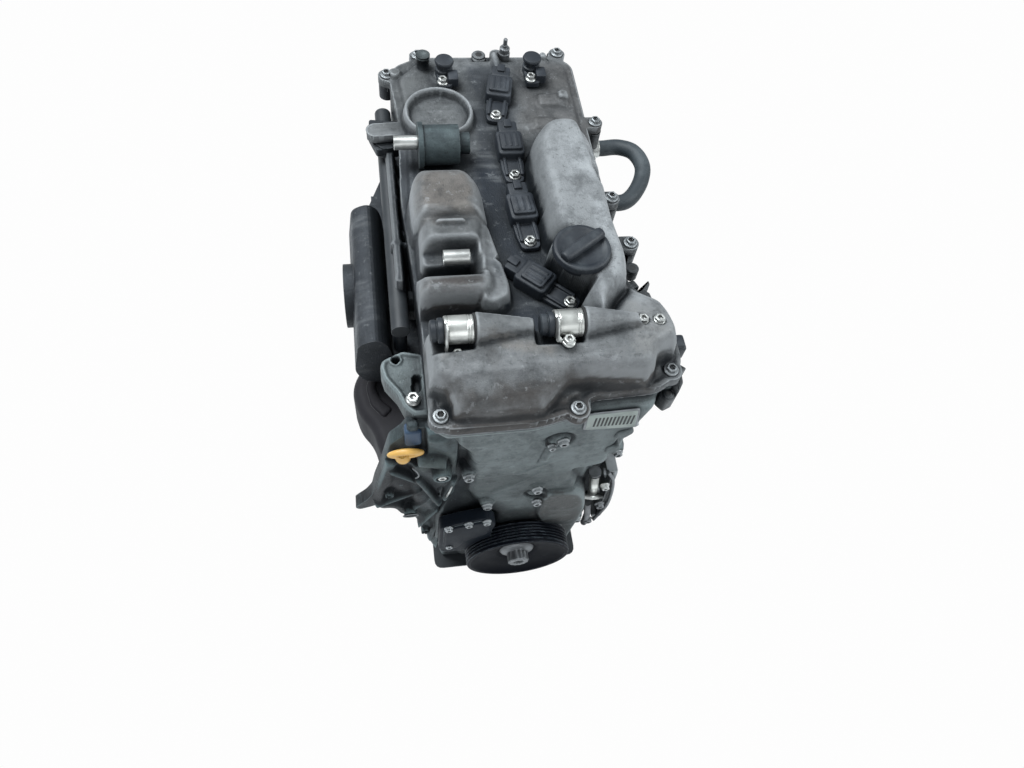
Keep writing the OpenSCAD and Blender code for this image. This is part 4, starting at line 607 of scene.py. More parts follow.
def finishes():
    """Every material of the engine by name, made once."""
    if "cover alloy" in bpy.data.materials:
        return bpy.data.materials
    tone = bpy.context.scene.engine_colours
    grime_and_shade, cover, pale, case = (tuple(c) for c in (tone.grime_and_shade, tone.cover, tone.cover_light, tone.case))
    dark, any_place = (0.007, 0.012, 0.021), (None, None, None)
    # a paler tone for painted highlights
    painted_highlight = shade(pale, 1.25)
    cast_alloy("cover alloy", cover, shade(pale, 0.55), grime_and_shade, (
        ((14, -430, 374), (None, -160, None), 9, shade(pale, 0.8), 0.85),
        # painted highlights on the exhaust hump's right side and along its top
        ((64, -400, 358), (None, -170, None), 10, painted_highlight, 0.7),
        ((46, -260, 392), (None, -160, None), 10, painted_highlight, 0.5),
        ((-110, -300, 372), (-50, -238, None), 10, (0.115, 0.10, 0.088), 0.75),
        # painted highlight along the top of the ridge between the intake domes
        ((-92, -320, 396), (-58, -286, None), 6, (0.22, 0.21, 0.195), 0.7),
        ((-120, -396, 346), (-52, -346, None), 7, (0.034, 0.027, 0.024), 0.9),
        ((-120, -410, None), (-100, -150, 372), 6, dark, 0.7),
        # painted shade in the valley between the humps, round the coils and on the left hump's right flank
        ((-40, -415, None), (26, -200, 372), 10, dark, 0.92),
        ((-34, -210, None), (16, -40, 368), 10, dark, 0.7),
        ((-60, -300, None), (-20, -180, 380), 10, dark, 0.7),
        ((-104, -520, None), (100, -446, 374), 8, (0.054, 0.047, 0.043), 0.85),
        # painted highlights along the front dome's top and on its right part
        ((-100, -476, 374), (60, -452, None), 5, (0.16, 0.165, 0.17), 0.5),
        ((-100, -450, 380), (0, -438, None), 6, (0.19, 0.175, 0.16), 0.6),
        ((70, -460, 378), (None, -400, None), 8, (0.24, 0.24, 0.235), 0.5),
        ((20, -160, None), (None, -40, 372), 12, (0.085, 0.08, 0.078), 0.6)), 0.024, 0.7)
    cast_alloy("case alloy", case, shade(case, 1.5), grime_and_shade, (
        ((-62, None, 214), (70, None, 320), 14, shade(case, 1.9), 0.75),
        ((-60, None, 140), (12, None, 205), 10, shade(case, 0.9), 0.7),
        ((60, None, 60), (None, None, 250), 8, shade(case, 1.6), 0.7),
        (any_place, (-66, None, 240), 7, dark, 0.6),
        (any_place, (None, None, 96), 14, shade(case, 0.3), 0.75),
        ((14, -520, 60), (74, -486.5, 150), 3, (0.07, 0.068, 0.066), 0.7),
        (any_place, (-20, None, 118), 9, grime_and_shade, 0.7)), 0.025, 0.75)
    cast_alloy("head alloy", shade(cover, 0.6), shade(pale, 0.42), grime_and_shade,
               ((any_place, (-84, None, None), 6, dark, 0.7),), 0.03, 0.8)
    cast_alloy("block alloy", shade(case, 0.8), shade(case, 1.2), grime_and_shade,
               ((any_place, (None, None, 90), 20, grime_and_shade, 0.6),), 0.03, 0.8)
    cast_alloy("bracket alloy", (0.03, 0.042, 0.047), (0.075, 0.10, 0.105), grime_and_shade, (
        (any_place, (-122, None, 228), 10, (0.010, 0.010, 0.012), 0.93),
        ((-126, None, 222), (None, None, 262), 5, (0.11, 0.135, 0.13), 0.6)), 0.02, 0.7)
    cast_alloy("tab alloy", shade(case, 0.9), shade(case, 1.7), grime_and_shade, (), 0.02, 0.6)
    for name, *look in (("bright steel", (0.62, 0.63, 0.61), 0.28), ("nickel plate", (0.76, 0.77, 0.73), 0.22, 0.3),
                        ("dull steel", (0.24, 0.25, 0.26), 0.42), ("grimy steel", (0.36, 0.38, 0.39), 0.36, 1.0),
                        ("dark iron", (0.12, 0.12, 0.125), 0.5, 0.6, 0.7)):
        machined_metal(name, *look)
    for name, *look in (
            ("black pulley", (0.003, 0.004, 0.007), (0.22, 0.26, 0.30), 0.34, (0.008, 0.01, 0.013), 0.4, 0.05),
            ("pump paint", (0.006, 0.009, 0.014), (0.22, 0.26, 0.27), 0.4, (0.02, 0.026, 0.034), 0.6, 0.08),
            ("black steel", (0.02, 0.024, 0.028), (0.25, 0.26, 0.27), 0.45, (0.06, 0.065, 0.07), 0.5),
            ("dark shell paint", (0.022, 0.021, 0.024), (0.12, 0.12, 0.12), 0.5, (0.03, 0.03, 0.034), 0.5, 0.12)):
        painted(name, *look)
    for name, *look in (
            ("black plastic", tone.plastic, 0.4), ("coil plastic", tone.plastic, 0.45, (0.075, 0.085, 0.10), 0.6),
            ("hose rubber", tone.hose, 0.5, (0.11, 0.13, 0.14), 0.4),
            ("blue plastic", (0.02, 0.05, 0.10), 0.4, (0.08, 0.13, 0.17), 0.6),
            ("seal rubber", (0.015, 0.015, 0.015), 0.6),
            ("yellow plastic", tone.handle, 0.35, (0.45, 0.25, 0.07), 0.5, 0.15, 0.6),
            ("label stock", (0.30, 0.34, 0.32), 0.55, (0.14, 0.16, 0.15), 0.7, 0, 0.3),
            ("label bars", (0.03, 0.03, 0.03), 0.6, (0.10, 0.115, 0.125), 0.35, 0, 0.3)):
        moulded(name, *look)
    return bpy.data.materials


# ---- the cam cover

COVER_RIM = softened([
    (-112, -38), (-84, -23), (78, -23), (94, -38), (93, -352), (112, -384), (126, -416), (126, -446), (118, -462),
    (98, -474), (34, -477), (24, -490), (-16, -499), (-96, -500), (-111, -488), (-110, -380), (-118, -230),
    (-113, -120), (-119, -60)], 9)
COVER_LUGS = (((-84, -20), (-84, -32), 9.5), ((-121, -52), (-108, -58), 9.5), ((80, -17), (76, -30), 9.5),
              ((-138, -138), (-108, -136), 10), ((104, -133), (88, -133), 8.5), ((100, -245), (86, -245), 9),
              ((107, -306), (86, -306), 9), ((-101, -486), (-96, -476), 11), ((20, -488), (20, -474), 11),
              ((113, -456), (104, -446), 11), ((8, -17), (8, -30), 8))
FLANGE_H = 9
PLATEAU_H = 14
PLATEAU = softened([
    (-84, -33), (76, -33), (85, -46), (84, -340), (102, -386), (117, -418), (117, -446), (108, -455), (92, -466),
    (30, -470), (14, -484), (-88, -493), (-102, -484), (-102, -380), (-110, -230), (-105, -110), (-110, -62)], 9)
EXHAUST_HUMP = softened([
    (14, -196), (34, -166), (66, -164), (84, -184), (88, -236), (88, -300), (93, -345), (86, -376), (64, -404),
    (56, -430), (40, -430), (35, -404), (35, -338), (15, -318), (12, -250)], 14)
DOMES = (  # outline, height, width and power of its shoulder
    (softened([(-108, -232), (-52, -232), (-38, -254), (-36, -306), (-112, -306), (-114, -262)], 14), 57, 20, 2.4),
    (softened([(-108, -290), (-40, -290), (-44, -344), (-108, -346)], 10), 51, 17, 2.4),
    (softened([(-114, -352), (-40, -352), (-38, -376), (-52, -389), (-112, -386)], 9), 49, 14, 2.6))
SADDLE = softened([(-62, -296), (-36, -296), (-24, -368), (-26, -384), (-44, -394), (-60, -390)], 6)
FRONT_DOME = softened([
    (-110, -414), (-110, -464), (-105, -467), (-96, -474), (-94, -484), (-91, -493), (-55, -495), (-12, -494),
    (2, -482), (13, -472.5), (32, -470), (53, -472), (83, -474), (92, -466), (96, -454), (106, -447.5), (118, -444),
    (119.5, -426), (118, -410), (112, -391), (99, -375), (86, -366), (60, -404), (34, -422)], 4)
CONE_SCREWS = ((84, -424), (99, -425))
CONE_SEAT = 46
SOLENOID_Z = 53
SOLENOID_Y = -427
SOLENOID_R = 13
SOLENOID_ENDS = (-69, 26)
CONE_LENGTHS = (60, 54)
COILS = ((-355, 48), (-267.5, 4), (-180, 0), (-92.5, -12))
SENSORS = ((41, -58), (-58, -62))
MOTOR_PORT = (-70, -128)
FRONT_SCREWS = ((-101, -486), (20, -488), (113, -456))
SEATS = tuple((centre, 14, 18) for centre in SENSORS) + (  # centre, radius, height
    ((8, -25), 8, 16), ((-80, -30), 9, 14.5), ((-112, -52), 9, 14.5), ((60, -30), 7, 19))
PADS = (((40, -116), (80, -92), 18.5), ((30, -150), (62, -128), 17), ((62, -110), (80, -92), 24),
        ((-3, -72), (11, -22), 20))


def cone_height(x, y, start, length):
    """The upper half of a cone behind a solenoid, along X, as a height, and -99 beside it."""
    wide, narrow = SOLENOID_R + 1.8, 5.5
    t = (x - start) / length
    rise = (wide + (narrow - wide) * np.clip(t, 0, 1)) ** 2 - (y - SOLENOID_Y) ** 2
    return np.where((t > 0) & (t < 1) & (rise > 0), SOLENOID_Z + np.sqrt(np.maximum(rise, 0)), -99)


def coil_room(x, y):
    """Depth in the room kept for the four ignition coils, each with its head, plug and arm."""
    deepest = np.full(x.shape, -99.0)
    for centre, turn in COILS:
        a = math.radians(turn)
        u = x * math.cos(a) + (y - centre) * math.sin(a)
        v = -x * math.sin(a) + (y - centre) * math.cos(a)
        for half, low, high in ((16, -19, 19), (12, 0, 36), (12, -52, 0)):
            deepest = np.maximum(deepest, box_depth(u, v, (-half, low), (half, high)))
    return deepest


def cover_depth(x, y):
    """Depth in the cover's rim or in one of its bolt lugs."""
    return np.maximum.reduce([inside_depth(x, y, COVER_RIM)] + [bar_depth(x, y, *lug) for lug in COVER_LUGS])


def cover_height(x, y):
    """Height of the cover above its joint face. Each cast form is its outline's depth put
    through a rounded shoulder and scaled, and the forms are joined by parabolic fillets:
    the two cam humps, the wide dome over the chain, the solenoid cones, the ports and pads."""
    fillet = bpy.context.scene.engine_sizes.fillet
    rim = cover_depth(x, y)
    h = FLANGE_H - 1.5 * (1 - shoulder(rim, 2.5))
    h = np.maximum(h, FLANGE_H + (PLATEAU_H - FLANGE_H) * shoulder(inside_depth(x, y, PLATEAU), 5))

    # exhaust side hump: a long bar with a round nose at the rear and a facet at the front
    top = 59 + 1.2 * np.sin((y + 300) * 0.03)
    top = top - 7 * ease((x - 70 + 0.08 * (y + 240)) / 2.5) * ease((y + 392) / 20)
    top = top - 15 * ease((12 - np.hypot(x - 80, y + 246)) / 7)
    h = raised(h, inside_depth(x, y, EXHAUST_HUMP), top, 21, 2.3, fillet)

    # intake side: three domes with a ridge, the saddle beside them and the breather's recess
    for number, (outline, *form) in enumerate(DOMES):
        if number == 2:
            ridge = 58 * np.exp(-(((y + 307) / 6.5) ** 2)) * ease((22 - np.abs(x + 76)) / 10)
            h = smooth_max(h, ridge, 5)
        h = raised(h, inside_depth(x, y, outline), *form, fillet)
    rib = 4 * np.exp(-(((x + 47 - 0.1 * (y + 330)) / 2.6) ** 2))
    h = raised(h, inside_depth(x, y, SADDLE), 38 + rib, 7, 2.2, 4)
    recess = box_depth(x, y, (-114, -358), (-58, -330))
    bowl = 32 + np.maximum(-recess, 0) ** 1.5
    h = np.where(recess > -11, -smooth_max(-h, -bowl, 9), h)

    # the wide dome over the chain, with a crease where its roof turns down to the front
    level = np.interp(y, [-496, -482, -464, -446, -430, -400, -380], [27, 36, 46, 49.5, 51, 44, 30])
    level = level - 0.10 * np.maximum(-66 - x, 0) - 0.14 * np.maximum(x - 84, 0)
    level = level - 5 * np.exp(-(((x - 14) / 24) ** 2)) * ease((-440 - y) / 26)
    level = level + 1.6 * np.exp(-(((y + 464 - 0.03 * x) / 3.0) ** 2)) * ease((-8 - x) / 20) * ease((x + 98) / 12)
    h = raised(h, inside_depth(x, y, FRONT_DOME), level, 14, 2.7, 3)
    lip = 1.6 * shoulder(rim - 1.2, 2.5) * (1 - shoulder(rim - 5.5, 2.5)) * ease((-405 - y) / 20)
    h = h + np.where(h < FLANGE_H + 4, lip, 0)

    # cones behind the two solenoids, each with a flat end for the solenoid to sit against
    for start, length in zip(SOLENOID_ENDS, CONE_LENGTHS):
        cone = cone_height(x, y, start, length)
        h = np.where(cone > 0, smooth_max(h, cone, 2.5), h)
        reach = SOLENOID_R + 3
        room = box_depth(x, y, (start - 41, SOLENOID_Y - reach), (start, SOLENOID_Y + reach))
        h = cut(h, room, SOLENOID_Z - SOLENOID_R - 1.5)
    for centre in CONE_SCREWS:
        h = boss(h, disc_depth(x, y, centre, 9), CONE_SEAT + 1, 3, 3)
        h = cut(h, disc_depth(x, y, centre, 6), CONE_SEAT)

    # filler neck, motor port, sensor seats and the low pads at the rear
    h = boss(h, disc_depth(x, y, (39, -352), 31), 55.5, 2.5, 4)
    h = boss(h, disc_depth(x, y, MOTOR_PORT, 40), 26, 3, 4)
    h = np.where(disc_depth(x, y, MOTOR_PORT, 32) > 0, 16, h)
    for centre, radius, top in SEATS:
        h = boss(h, disc_depth(x, y, centre, radius), top, 2.5, 3)
    for low, high, top in PADS:
        h = raised(h, inside_depth(x, y, oblong(low, high, 8, 5)), top, 6, 2.2, 4)

    # room for the coils, the drum, the front screws and the shelf
    h = cut(h, coil_room(x, y), PLATEAU_H - 0.3)
    h = cut(h, box_depth(x, y, (-101, -214), (-42, -166)), PLATEAU_H - 0.5)
    for centre in FRONT_SCREWS:
        h = cut(h, disc_depth(x, y, centre, 10), FLANGE_H)
    h = cut(h, box_depth(x, y, (-100, -410), (-40, -390)), PLATEAU_H)
    return np.maximum(h, 4)


class ENGINE_OT_cover(bpy.types.Operator):
    """Works out the cam cover as one cast surface in place of its plain CAD form"""

    bl_idname = "engine.cover"
    bl_label = "Cam cover"

    def execute(self, context):
        cover = relief("cam_cover_casting", cover_depth, (COVER_RIM.min(0) - 30, COVER_RIM.max(0) + 20),
                       lambda x, y: COVER_Z + cover_height(x, y), COVER_Z, context.scene.engine_sizes.cover_cell,
                       "top", "cover alloy", rounds=2)
        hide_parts("cam_cover")
        return {"FINISHED"}


# ---- the chain case

CASE_RIM = softened([
    (-110, 335), (-110, 296), (-105, 262), (-105, 60), (-99, -30), (-91, -112), (87, -112), (91, -40), (96, 40),
    (99, 120), (99, 250), (103, 290), (118, 318), (125, 335)], 6)
FACE_BOLTS = ((17, 280), (7, 272), (-70, 214), (7, 163), (11, 126), (-45, 128))
EDGE_BOLTS = ((105, 236), (105, 160), (98, 2), (95, -50), (-99, -48), (-107, 152), (-108, 278))
FACE_SEAT = 488
EDGE_SEAT = 452
CASE_BACK = 440
CASE_BODY = softened([
    (-100, 330), (-99, 268), (-88, 240), (-84, 210), (-92, 180), (-97, 60), (-90, -26), (-68, -104), (60, -104),
    (70, -62), (74, 28), (72, 150), (70, 196), (86, 208), (88, 270), (94, 296), (104, 330)], 8)
CASE_FACE = softened([
    (-90, 330), (-88, 290), (-70, 262), (-67, 240), (-70, 222), (-64, 208), (-64, 150), (-54, 110), (-32, 92),
    (-30, 40), (30, 40), (30, 90), (54, 120), (52, 156), (43, 172), (42, 198), (60, 200), (76, 207), (77, 268),
    (90, 294), (98, 330)], 7)
CASE_PAD = softened([(17, 150), (56, 146), (66, 126), (72, 96), (72, 50), (60, 38), (24, 60), (16, 90)], 7)
PUMP_VOLUTE = softened([(-106, 10), (-106, 104), (-88, 132), (-70, 160), (-52, 150), (-36, 112), (-32, 16)], 8)
CAM_BULGE = softened([(-84, 318), (-84, 250), (-62, 236), (-26, 240), (-12, 262), (-14, 318)], 12)
CASE_CREASES = (((-22, 198), (14, 226)), ((-40, 150), (8, 205)), ((30, 160), (16, 214)))
CASE_PIPE = ((-92, 226), (-84, 196), (-86, 172), (-96, 150), (-103, 122))
PIPE_R = 11


def flange_front(x):
    """How far forward the case's top flange reaches under the cover, from the cover's own rim."""
    return np.interp(x, [-111, -96, -16, 24, 34, 98, 118, 126], [488, 499, 498, 489, 476.5, 473, 461, 446])


def case_depth(x, z):
    """Depth in the case's outline or in the lug of one of its edge bolts."""
    return np.maximum.reduce([inside_depth(x, z, CASE_RIM)] + [disc_depth(x, z, spot, 9) for spot in EDGE_BOLTS])


def case_height(x, z):
    """How far the chain case stands forward of the crankshaft's rear end. The box over the
    chain, the flatter face on it, the pump's volute, the boss and the pads are outlines put
    through rounded shoulders and joined by parabolic fillets; the top flange follows the
    cover's rim, and the bolts sit on round bosses."""
    h = CASE_BACK + 26 * shoulder(inside_depth(x, z, CASE_RIM), 7, 2.4)
    h = h - 16 * ease((x - 74) / 3) * ease((206 - z) / 5) * ease((z - 20) / 10)
    h = raised(h, inside_depth(x, z, CASE_BODY), 31, 12, 2.6, 4, CASE_BACK)
    h = raised(h, inside_depth(x, z, CASE_FACE) + 7, 45, 16, 2.4, 4, CASE_BACK)
    h = h - 3.2 * ease((199 - z + 0.12 * (x + 40)) / 4) * ease((x + 66) / 4) * ease((-4 - x + (z - 199) * 0.5) / 14)
    h = h + 2.6 * shoulder(inside_depth(x, z, CAM_BULGE), 5)
    h = raised(h, inside_depth(x, z, CASE_PAD) + 4, 51, 7, 2.5, 2, CASE_BACK)
    volute = CASE_BACK + 45 * shoulder(inside_depth(x, z, PUMP_VOLUTE), 12, 2.6)
    h = smooth_max(h, np.minimum(volute, 485 - 0.42 * np.maximum(z - 104, 0)), 4)
    h = smooth_max(h, 485 * (disc_depth(x, z, (0, 0), 48) > 0), 2)
    rib = np.exp(-(((x - 8.5 - 0.1 * (z - 245)) / 2.0) ** 2)) * ease((z - 226) / 6) * ease((266 - z) / 6)
    h = h + 3 * rib
    for a, b in CASE_CREASES:
        h = h + 1.5 * ease(bar_depth(x, z, a, b, 2.6) / 2.6)
    # crescent pipe that leaves the boss on the left and curves down to the pump
    for a, b in zip(CASE_PIPE, CASE_PIPE[1:]):
        tube = bar_depth(x, z, a, b, PIPE_R)
        crown = np.sqrt(np.maximum(PIPE_R**2 - (PIPE_R - tube) ** 2, 0))
        h = smooth_max(h, np.where(tube > 0, 468 + crown, 0), 3)
    # the screws sit in shallow round seats; two of them have a wider sunk ring
    for spot in FACE_BOLTS:
        h = boss(h, disc_depth(x, z, spot, 10), FACE_SEAT, 2, 2.5)
    for centre, radius in (((15, 276), 15), ((8, 144), 13)):
        ring = disc_depth(x, z, centre, radius)
        h = np.where(between(ring, 0, 4.5) > 0, h - 5 * np.sin(ring / 4.5 * math.pi), h)
    h = h - 3 * ease(bar_depth(x, z, (4, 262), (0, 226), 1.6) / 1.6)
    for spot in EDGE_BOLTS:
        h = np.where(disc_depth(x, z, spot, 8) > 0, EDGE_SEAT, h)
    # the top flange keeps just behind the cover's rim
    edge = flange_front(x) - 1.4
    h = np.where(z > 323, np.maximum(h, edge), h)
    return np.minimum(h, edge + 40 * ease((332 - z) / 5))


class ENGINE_OT_case(bpy.types.Operator):
    """Works out the chain case as one cast surface in place of its plain CAD form"""

    bl_idname = "engine.case"
    bl_label = "Chain case"

    def execute(self, context):
        case = relief("chain_case_casting", case_depth, ((-126, -118), (132, 342)), case_height, 420,
                      context.scene.engine_sizes.case_cell, "front", "case alloy")
        bolts = join_all("case_bolts", [
            bolt((x, -front, z), "-y", 3.2 if (x, z) == FACE_BOLTS[1] else 4.4, 5, "grimy steel")
            for spots, front in ((FACE_BOLTS, FACE_SEAT), (EDGE_BOLTS, EDGE_SEAT)) for x, z in spots])
        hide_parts("timing_cover_bolts")
        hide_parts("timing_cover")
        return {"FINISHED"}


# ---- turned parts and fittings


class ENGINE_OT_pulley(bpy.types.Operator):
    """Turns the ribbed crank pulley and the splined bolt in its middle"""

    bl_idname = "engine.pulley"
    bl_label = "Crank pulley"

    def execute(self, context):
        low, high = box_mm("crank_pulley")
        rim, front, back = (high[0] - low[0]) / 2, -low[1], 488.0
        profile = [(12.5, front - 15), (22, front - 14.5), (25, front - 12), (28, front - 10.5), (44, front - 7.5),
                   (52, front - 5.5), (57, front - 2.4), (59, front - 0.5), (rim - 2.5, front),
                   (rim - 0.6, front - 0.6), (rim, front - 2), (rim, front - 3.6)]
        for s in front - 4.5 - 3.6 * np.arange(5):
            profile += [(rim - 0.3, s), (rim, s - 0.5), (rim, s - 1.1), (rim - 0.6, s - 1.5), (rim - 3.4, s - 2.3)]
        profile += [(rim - 0.4, back + 2.6), (rim, back + 2), (rim - 0.4, back + 0.4), (rim - 2, back),
                    (40, back), (38, back + 3), (24, back + 3), (24, back - 6), (12.5, back - 6)]
        pulley = turned("crank_pulley_turned", profile, "-y", (0, 0, 0), "black pulley", "crank", 96, crisp=30)
        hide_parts("crank_pulley")

        def splined(angle, r, s):
            return np.where((s > 5.9) & (r > 0), 1 - 0.09 * (0.5 + 0.5 * np.cos(12 * angle)), 1.0)

        head = turned("crank_bolt_turned", [
            (POLE, -4), (12, -4), (21, -1), (21.5, 1), (19.5, 3.6), (14.5, 5), (13.4, 5.4), (13.2, 6), (13.2, 17),
            (11.8, 18.4), (7, 18.4), (6, 15), (POLE, 14.6)], "-y", (0, 0, 0), "dull steel", "crank", 96, splined,
            front - 14)
        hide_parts("pulley_bolt")
        return {"FINISHED"}


class ENGINE_OT_cap(bpy.types.Operator):
    """Turns the oil filler cap with its grip ridge"""

    bl_idname = "engine.cap"
    bl_label = "Oil filler cap"

    def execute(self, context):
        low, high = box_mm("oil_filler_cap")
        x, y = (low[:2] + high[:2]) / 2
        seat, rim = 392.5, (high[0] - low[0]) / 2

        def fluted(angle, r, s):
            return np.where((between(s, 1.2, 6) > 0) & (r > rim - 3), 1 - 0.012 * (0.5 + 0.5 * np.cos(48 * angle)), 1.0)

        disc = turned("cap_disc", [
            (POLE, -12), (19, -12), (19, -0.2), (rim - 3, -0.2), (rim - 0.6, 0.2), (rim, 1), (rim, 1.3), (rim, 5.6),
            (rim - 0.7, 6.6), (rim - 2.4, 7.3), (rim - 4.6, 7.2), (rim - 6.4, 5.9), (rim - 9, 5.4), (8, 5.4),
            (POLE, 5.4)], "z", (x, y, 0), "black plastic", "filler_cap", 144, fluted, seat, 0)

        # the grip is a bar across the cap, fat in its middle, with its upper half pressed flatter
        t, a = np.linspace(-1, 1, 25), math.radians(35)
        along = (rim - 2.5) * np.sin(t * math.pi / 2)
        path = np.stack([x + along * math.cos(a), y + along * math.sin(a), seat + 8.6 + 0 * t], -1)
        grip = swept(path, 6.4 - 2.2 * np.abs(t) ** 3, "black plastic", "filler_cap")
        co = np.empty(len(grip.data.vertices) * 3)
        grip.data.vertices.foreach_get("co", co)
        co[2::3] = (seat + 5 + np.clip((co[2::3] / MM - seat - 2) * 0.78, 0, 9.4)) * MM
        grip.data.vertices.foreach_set("co", co)
        cap = sharpen(join_all("oil_filler_cap_detailed", [disc, mended(grip)]), 40)
        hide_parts("oil_filler_cap")
        return {"FINISHED"}


class ENGINE_OT_solenoids(bpy.types.Operator):
    """Turns the two plated solenoids with their rings, and folds their holding straps"""

    bl_idname = "engine.solenoids"
    bl_label = "Solenoids"

    def execute(self, context):
        y, z, r = SOLENOID_Y, COVER_Z + SOLENOID_Z, 12.5
        shapes = (
            ("nickel plate", 64, 35, [
                (POLE, -25), (r - 1.5, -25), (r - 0.3, -24.6), (r, -23.8), (r, -22), (r - 0.5, -21.6),
                (r - 0.5, -21.2), (r, -20.8), (r, -5.5), (r - 0.6, -5.1), (r - 0.6, -4.6), (r, -4.2), (r, -3.4),
                (r - 0.6, -3), (r - 0.6, -2.5), (r, -2.1), (r, -0.4), (r - 1, 0), (POLE, 0)]),
            ("seal rubber", 64, 0, [(r - 2, 0), (r + 0.9, 0.2), (r + 1.1, 1.2), (r + 0.9, 3.2), (r - 2, 3.4)]),
            ("black plastic", 48, 35, [
                (POLE, -37), (8, -37), (9.5, -35.8), (9.5, -32), (8.8, -31.5), (8.8, -30.6), (10.6, -30.2),
                (11, -29.2), (11, -26.2), (10, -25), (POLE, -25)]))
        cans, rings, plugs = [[turned("can", profile, "x", (end, y, z), finish, sides=sides, crisp=crisp)
                               for end in SOLENOID_ENDS] for finish, sides, crisp, profile in shapes]
        cans_all = join_all("solenoid_cans", cans)
        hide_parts("oil_control_valves")
        join_all("solenoid_rings", rings)
        plugs_all = join_all("solenoid_plugs", plugs)
        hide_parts("valve_plugs")
        straps = []
        for end, foot in zip(SOLENOID_ENDS, (38.3, 50.3)):
            x, base = end - 23.5, COVER_Z + foot
            path = [(x, y - 2, z + 12.9), (x, y - 9, z + 10.2), (x, y - 13.2, z + 4), (x, y - 14.4, z - 3),
                    (x, y - 14.8, base + 3), (x + 3, y - 17, base + 1.2), (x + 12, y - 18.5, base + 1.2),
                    (x + 15, y - 18.5, base + 1.2)]
            straps += [swept(rounded_path(path, 5), 2.2, "bright steel", sides=12, squash=(0.55, 1.35)),
                       bolt((x + 9, y - 18.5, base + 1.6), "z", 4.4)]
        join_all("solenoid_straps", straps)
        return {"FINISHED"}


class ENGINE_OT_hose(bpy.types.Operator):
    """Sweeps the bypass hose along its route"""

    bl_idname = "engine.hose"
    bl_label = "Bypass hose"

    def execute(self, context):
        route = [(106, -128, 302), (122, -128, 302), (141, -129, 304), (156, -142, 308), (161, -167, 309),
                 (151, -193, 306), (132, -212, 303), (106, -212, 302)]
        hose = swept(rounded_path(route), 9.0, "hose rubber", sides=28, name="bypass_hose_swept")
        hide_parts("bypass_hose")
        return {"FINISHED"}


# ---- the left side

SHELL = softened([
    (-150, -326), (-164, -336), (-178, -356), (-182, -374), (-176, -400), (-163, -418), (-158, -440), (-150, -464),
    (-108, -466), (-108, -326)], 14, 9)
SHELL_LIP = softened([
    (-146, -346), (-160, -352), (-167, -372), (-163, -394), (-150, -410), (-140, -400), (-152, -388), (-157, -372),
    (-153, -358), (-142, -354)], 5)
TAB = softened([
    (-150, -412), (-147, -425), (-136, -441), (-130, -456), (-122, -464), (-108, -464), (-108, -400), (-128, -395),
    (-148, -404)], 3)
BRACKET = softened([
    (-80, 300), (-128, 300), (-134, 284), (-146, 268), (-151, 240), (-157, 208), (-164, 176), (-168, 150),
    (-175, 134), (-185, 121), (-189, 114), (-184, 108), (-170, 114), (-156, 122), (-147, 119), (-140, 99), (-128, 96),
    (-118, 56), (-107, -6), (-99, -42), (-95, -30), (-95, 130), (-80, 150)], 5)
BRACKET_RIBS = (  # both ends, half width, height
    ((-164, 134), (-118, 168), 4, 482), ((-146, 222), (-118, 190), 4, 483), ((-120, 200), (-98, 130), 5, 485),
    ((-132, 110), (-108, 150), 4, 484), ((-122, 60), (-100, 110), 4, 484), ((-106, 6), (-98, 60), 4, 482),
    ((-92, 150), (-84, 196), 5, 487))
BRACKET_SEATS = (  # centre, radius, height
    ((-97, 222), 11, 492), ((-129, 115), 9, 486), ((-112, 50), 7, 486), ((-150, 164), 6, 484))
BAND = softened([(-131, -150), (-132, -256), (-130, -328), (-104, -330), (-104, -146)], 4)
TAB_SCREW = (-122, -449)
TAB_HOLE = (-135, -405)


def tab_height(x, y):
    """The tab's face with a raised rim, a long pocket and a sunk seat at its two screws."""
    rim = inside_depth(x, y, TAB)
    h = 306 + 6 * shoulder(rim, 2) - 2.2 * ease((rim - 4) / 2)
    h = np.where(bar_depth(x, y, (-117, -426), (-118, -437), 3.6) > 0, 299, h)
    for screw, radius in ((TAB_SCREW, 6.5), (TAB_HOLE, 6)):
        h = smooth_max(h, 312 * (disc_depth(x, y, screw, radius) > 0), 0.5)
    return np.where(disc_depth(x, y, TAB_HOLE, 3.4) > 0, 298, h)


def bracket_height(x, z):
    """How far forward the lower left casting stands: a dark web with soft folds, a stub of pipe
    that lies across its top, ribs that run down to the pump and the round seats of its screws."""
    rim = inside_depth(x, z, BRACKET)
    h = 466 + 13 * shoulder(rim, 3, 2.2)
    h = np.where(z > 236, 459 + (h - 459) * ease((x + 116) / 6), h)
    h = h - 5 * ease((-122 - x) / 6) * ease((rim - 8) / 8) - 3 * np.sin((x + 0.7 * z) / 9) * ease((rim - 6) / 8)
    h = h - 13 * ease((-156 - x) / 22)
    level = z - 247 + 0.45 * (x + 123)
    stub = np.where(between(x, -121, -92) > 0, 100 - level**2, -1)
    h = smooth_max(h, np.where(stub > 0, 476 + np.sqrt(np.maximum(stub, 0)), 0), 2)
    for a, b, width, top in BRACKET_RIBS:
        h = raised(h, bar_depth(x, z, a, b, width), 16, width, 2, 3, top - 16)
    for centre, radius, top in BRACKET_SEATS:
        h = boss(h, disc_depth(x, z, centre, radius), top, 1.5, 2)
        h = np.where(disc_depth(x, z, centre, radius / 2) > 0, top - 6, h)
    return h


def band_height(x, y):
    """The head's flange beside the cover: a raised outer strip, a deep trough with slanting
    ribs, and a square pocket at its front end."""
    h = boss(302, between(x, -131, -119) + 1, 330, 2, 3)
    h = boss(h, between(x, -110, -104) + 1, 331, 2, 3)
    for y0 in (-168, -196, -232, -266):
        h = boss(h, bar_depth(x, y, (-120, y0 + 14), (-106, y0 - 12), 3.2), 324, 2, 4)
    h = boss(h, between(y, -284, -274) + 1, 327, 3, 4)
    return np.where(box_depth(x, y, (-117, -318), (-107, -286)) > 0, 290, h)


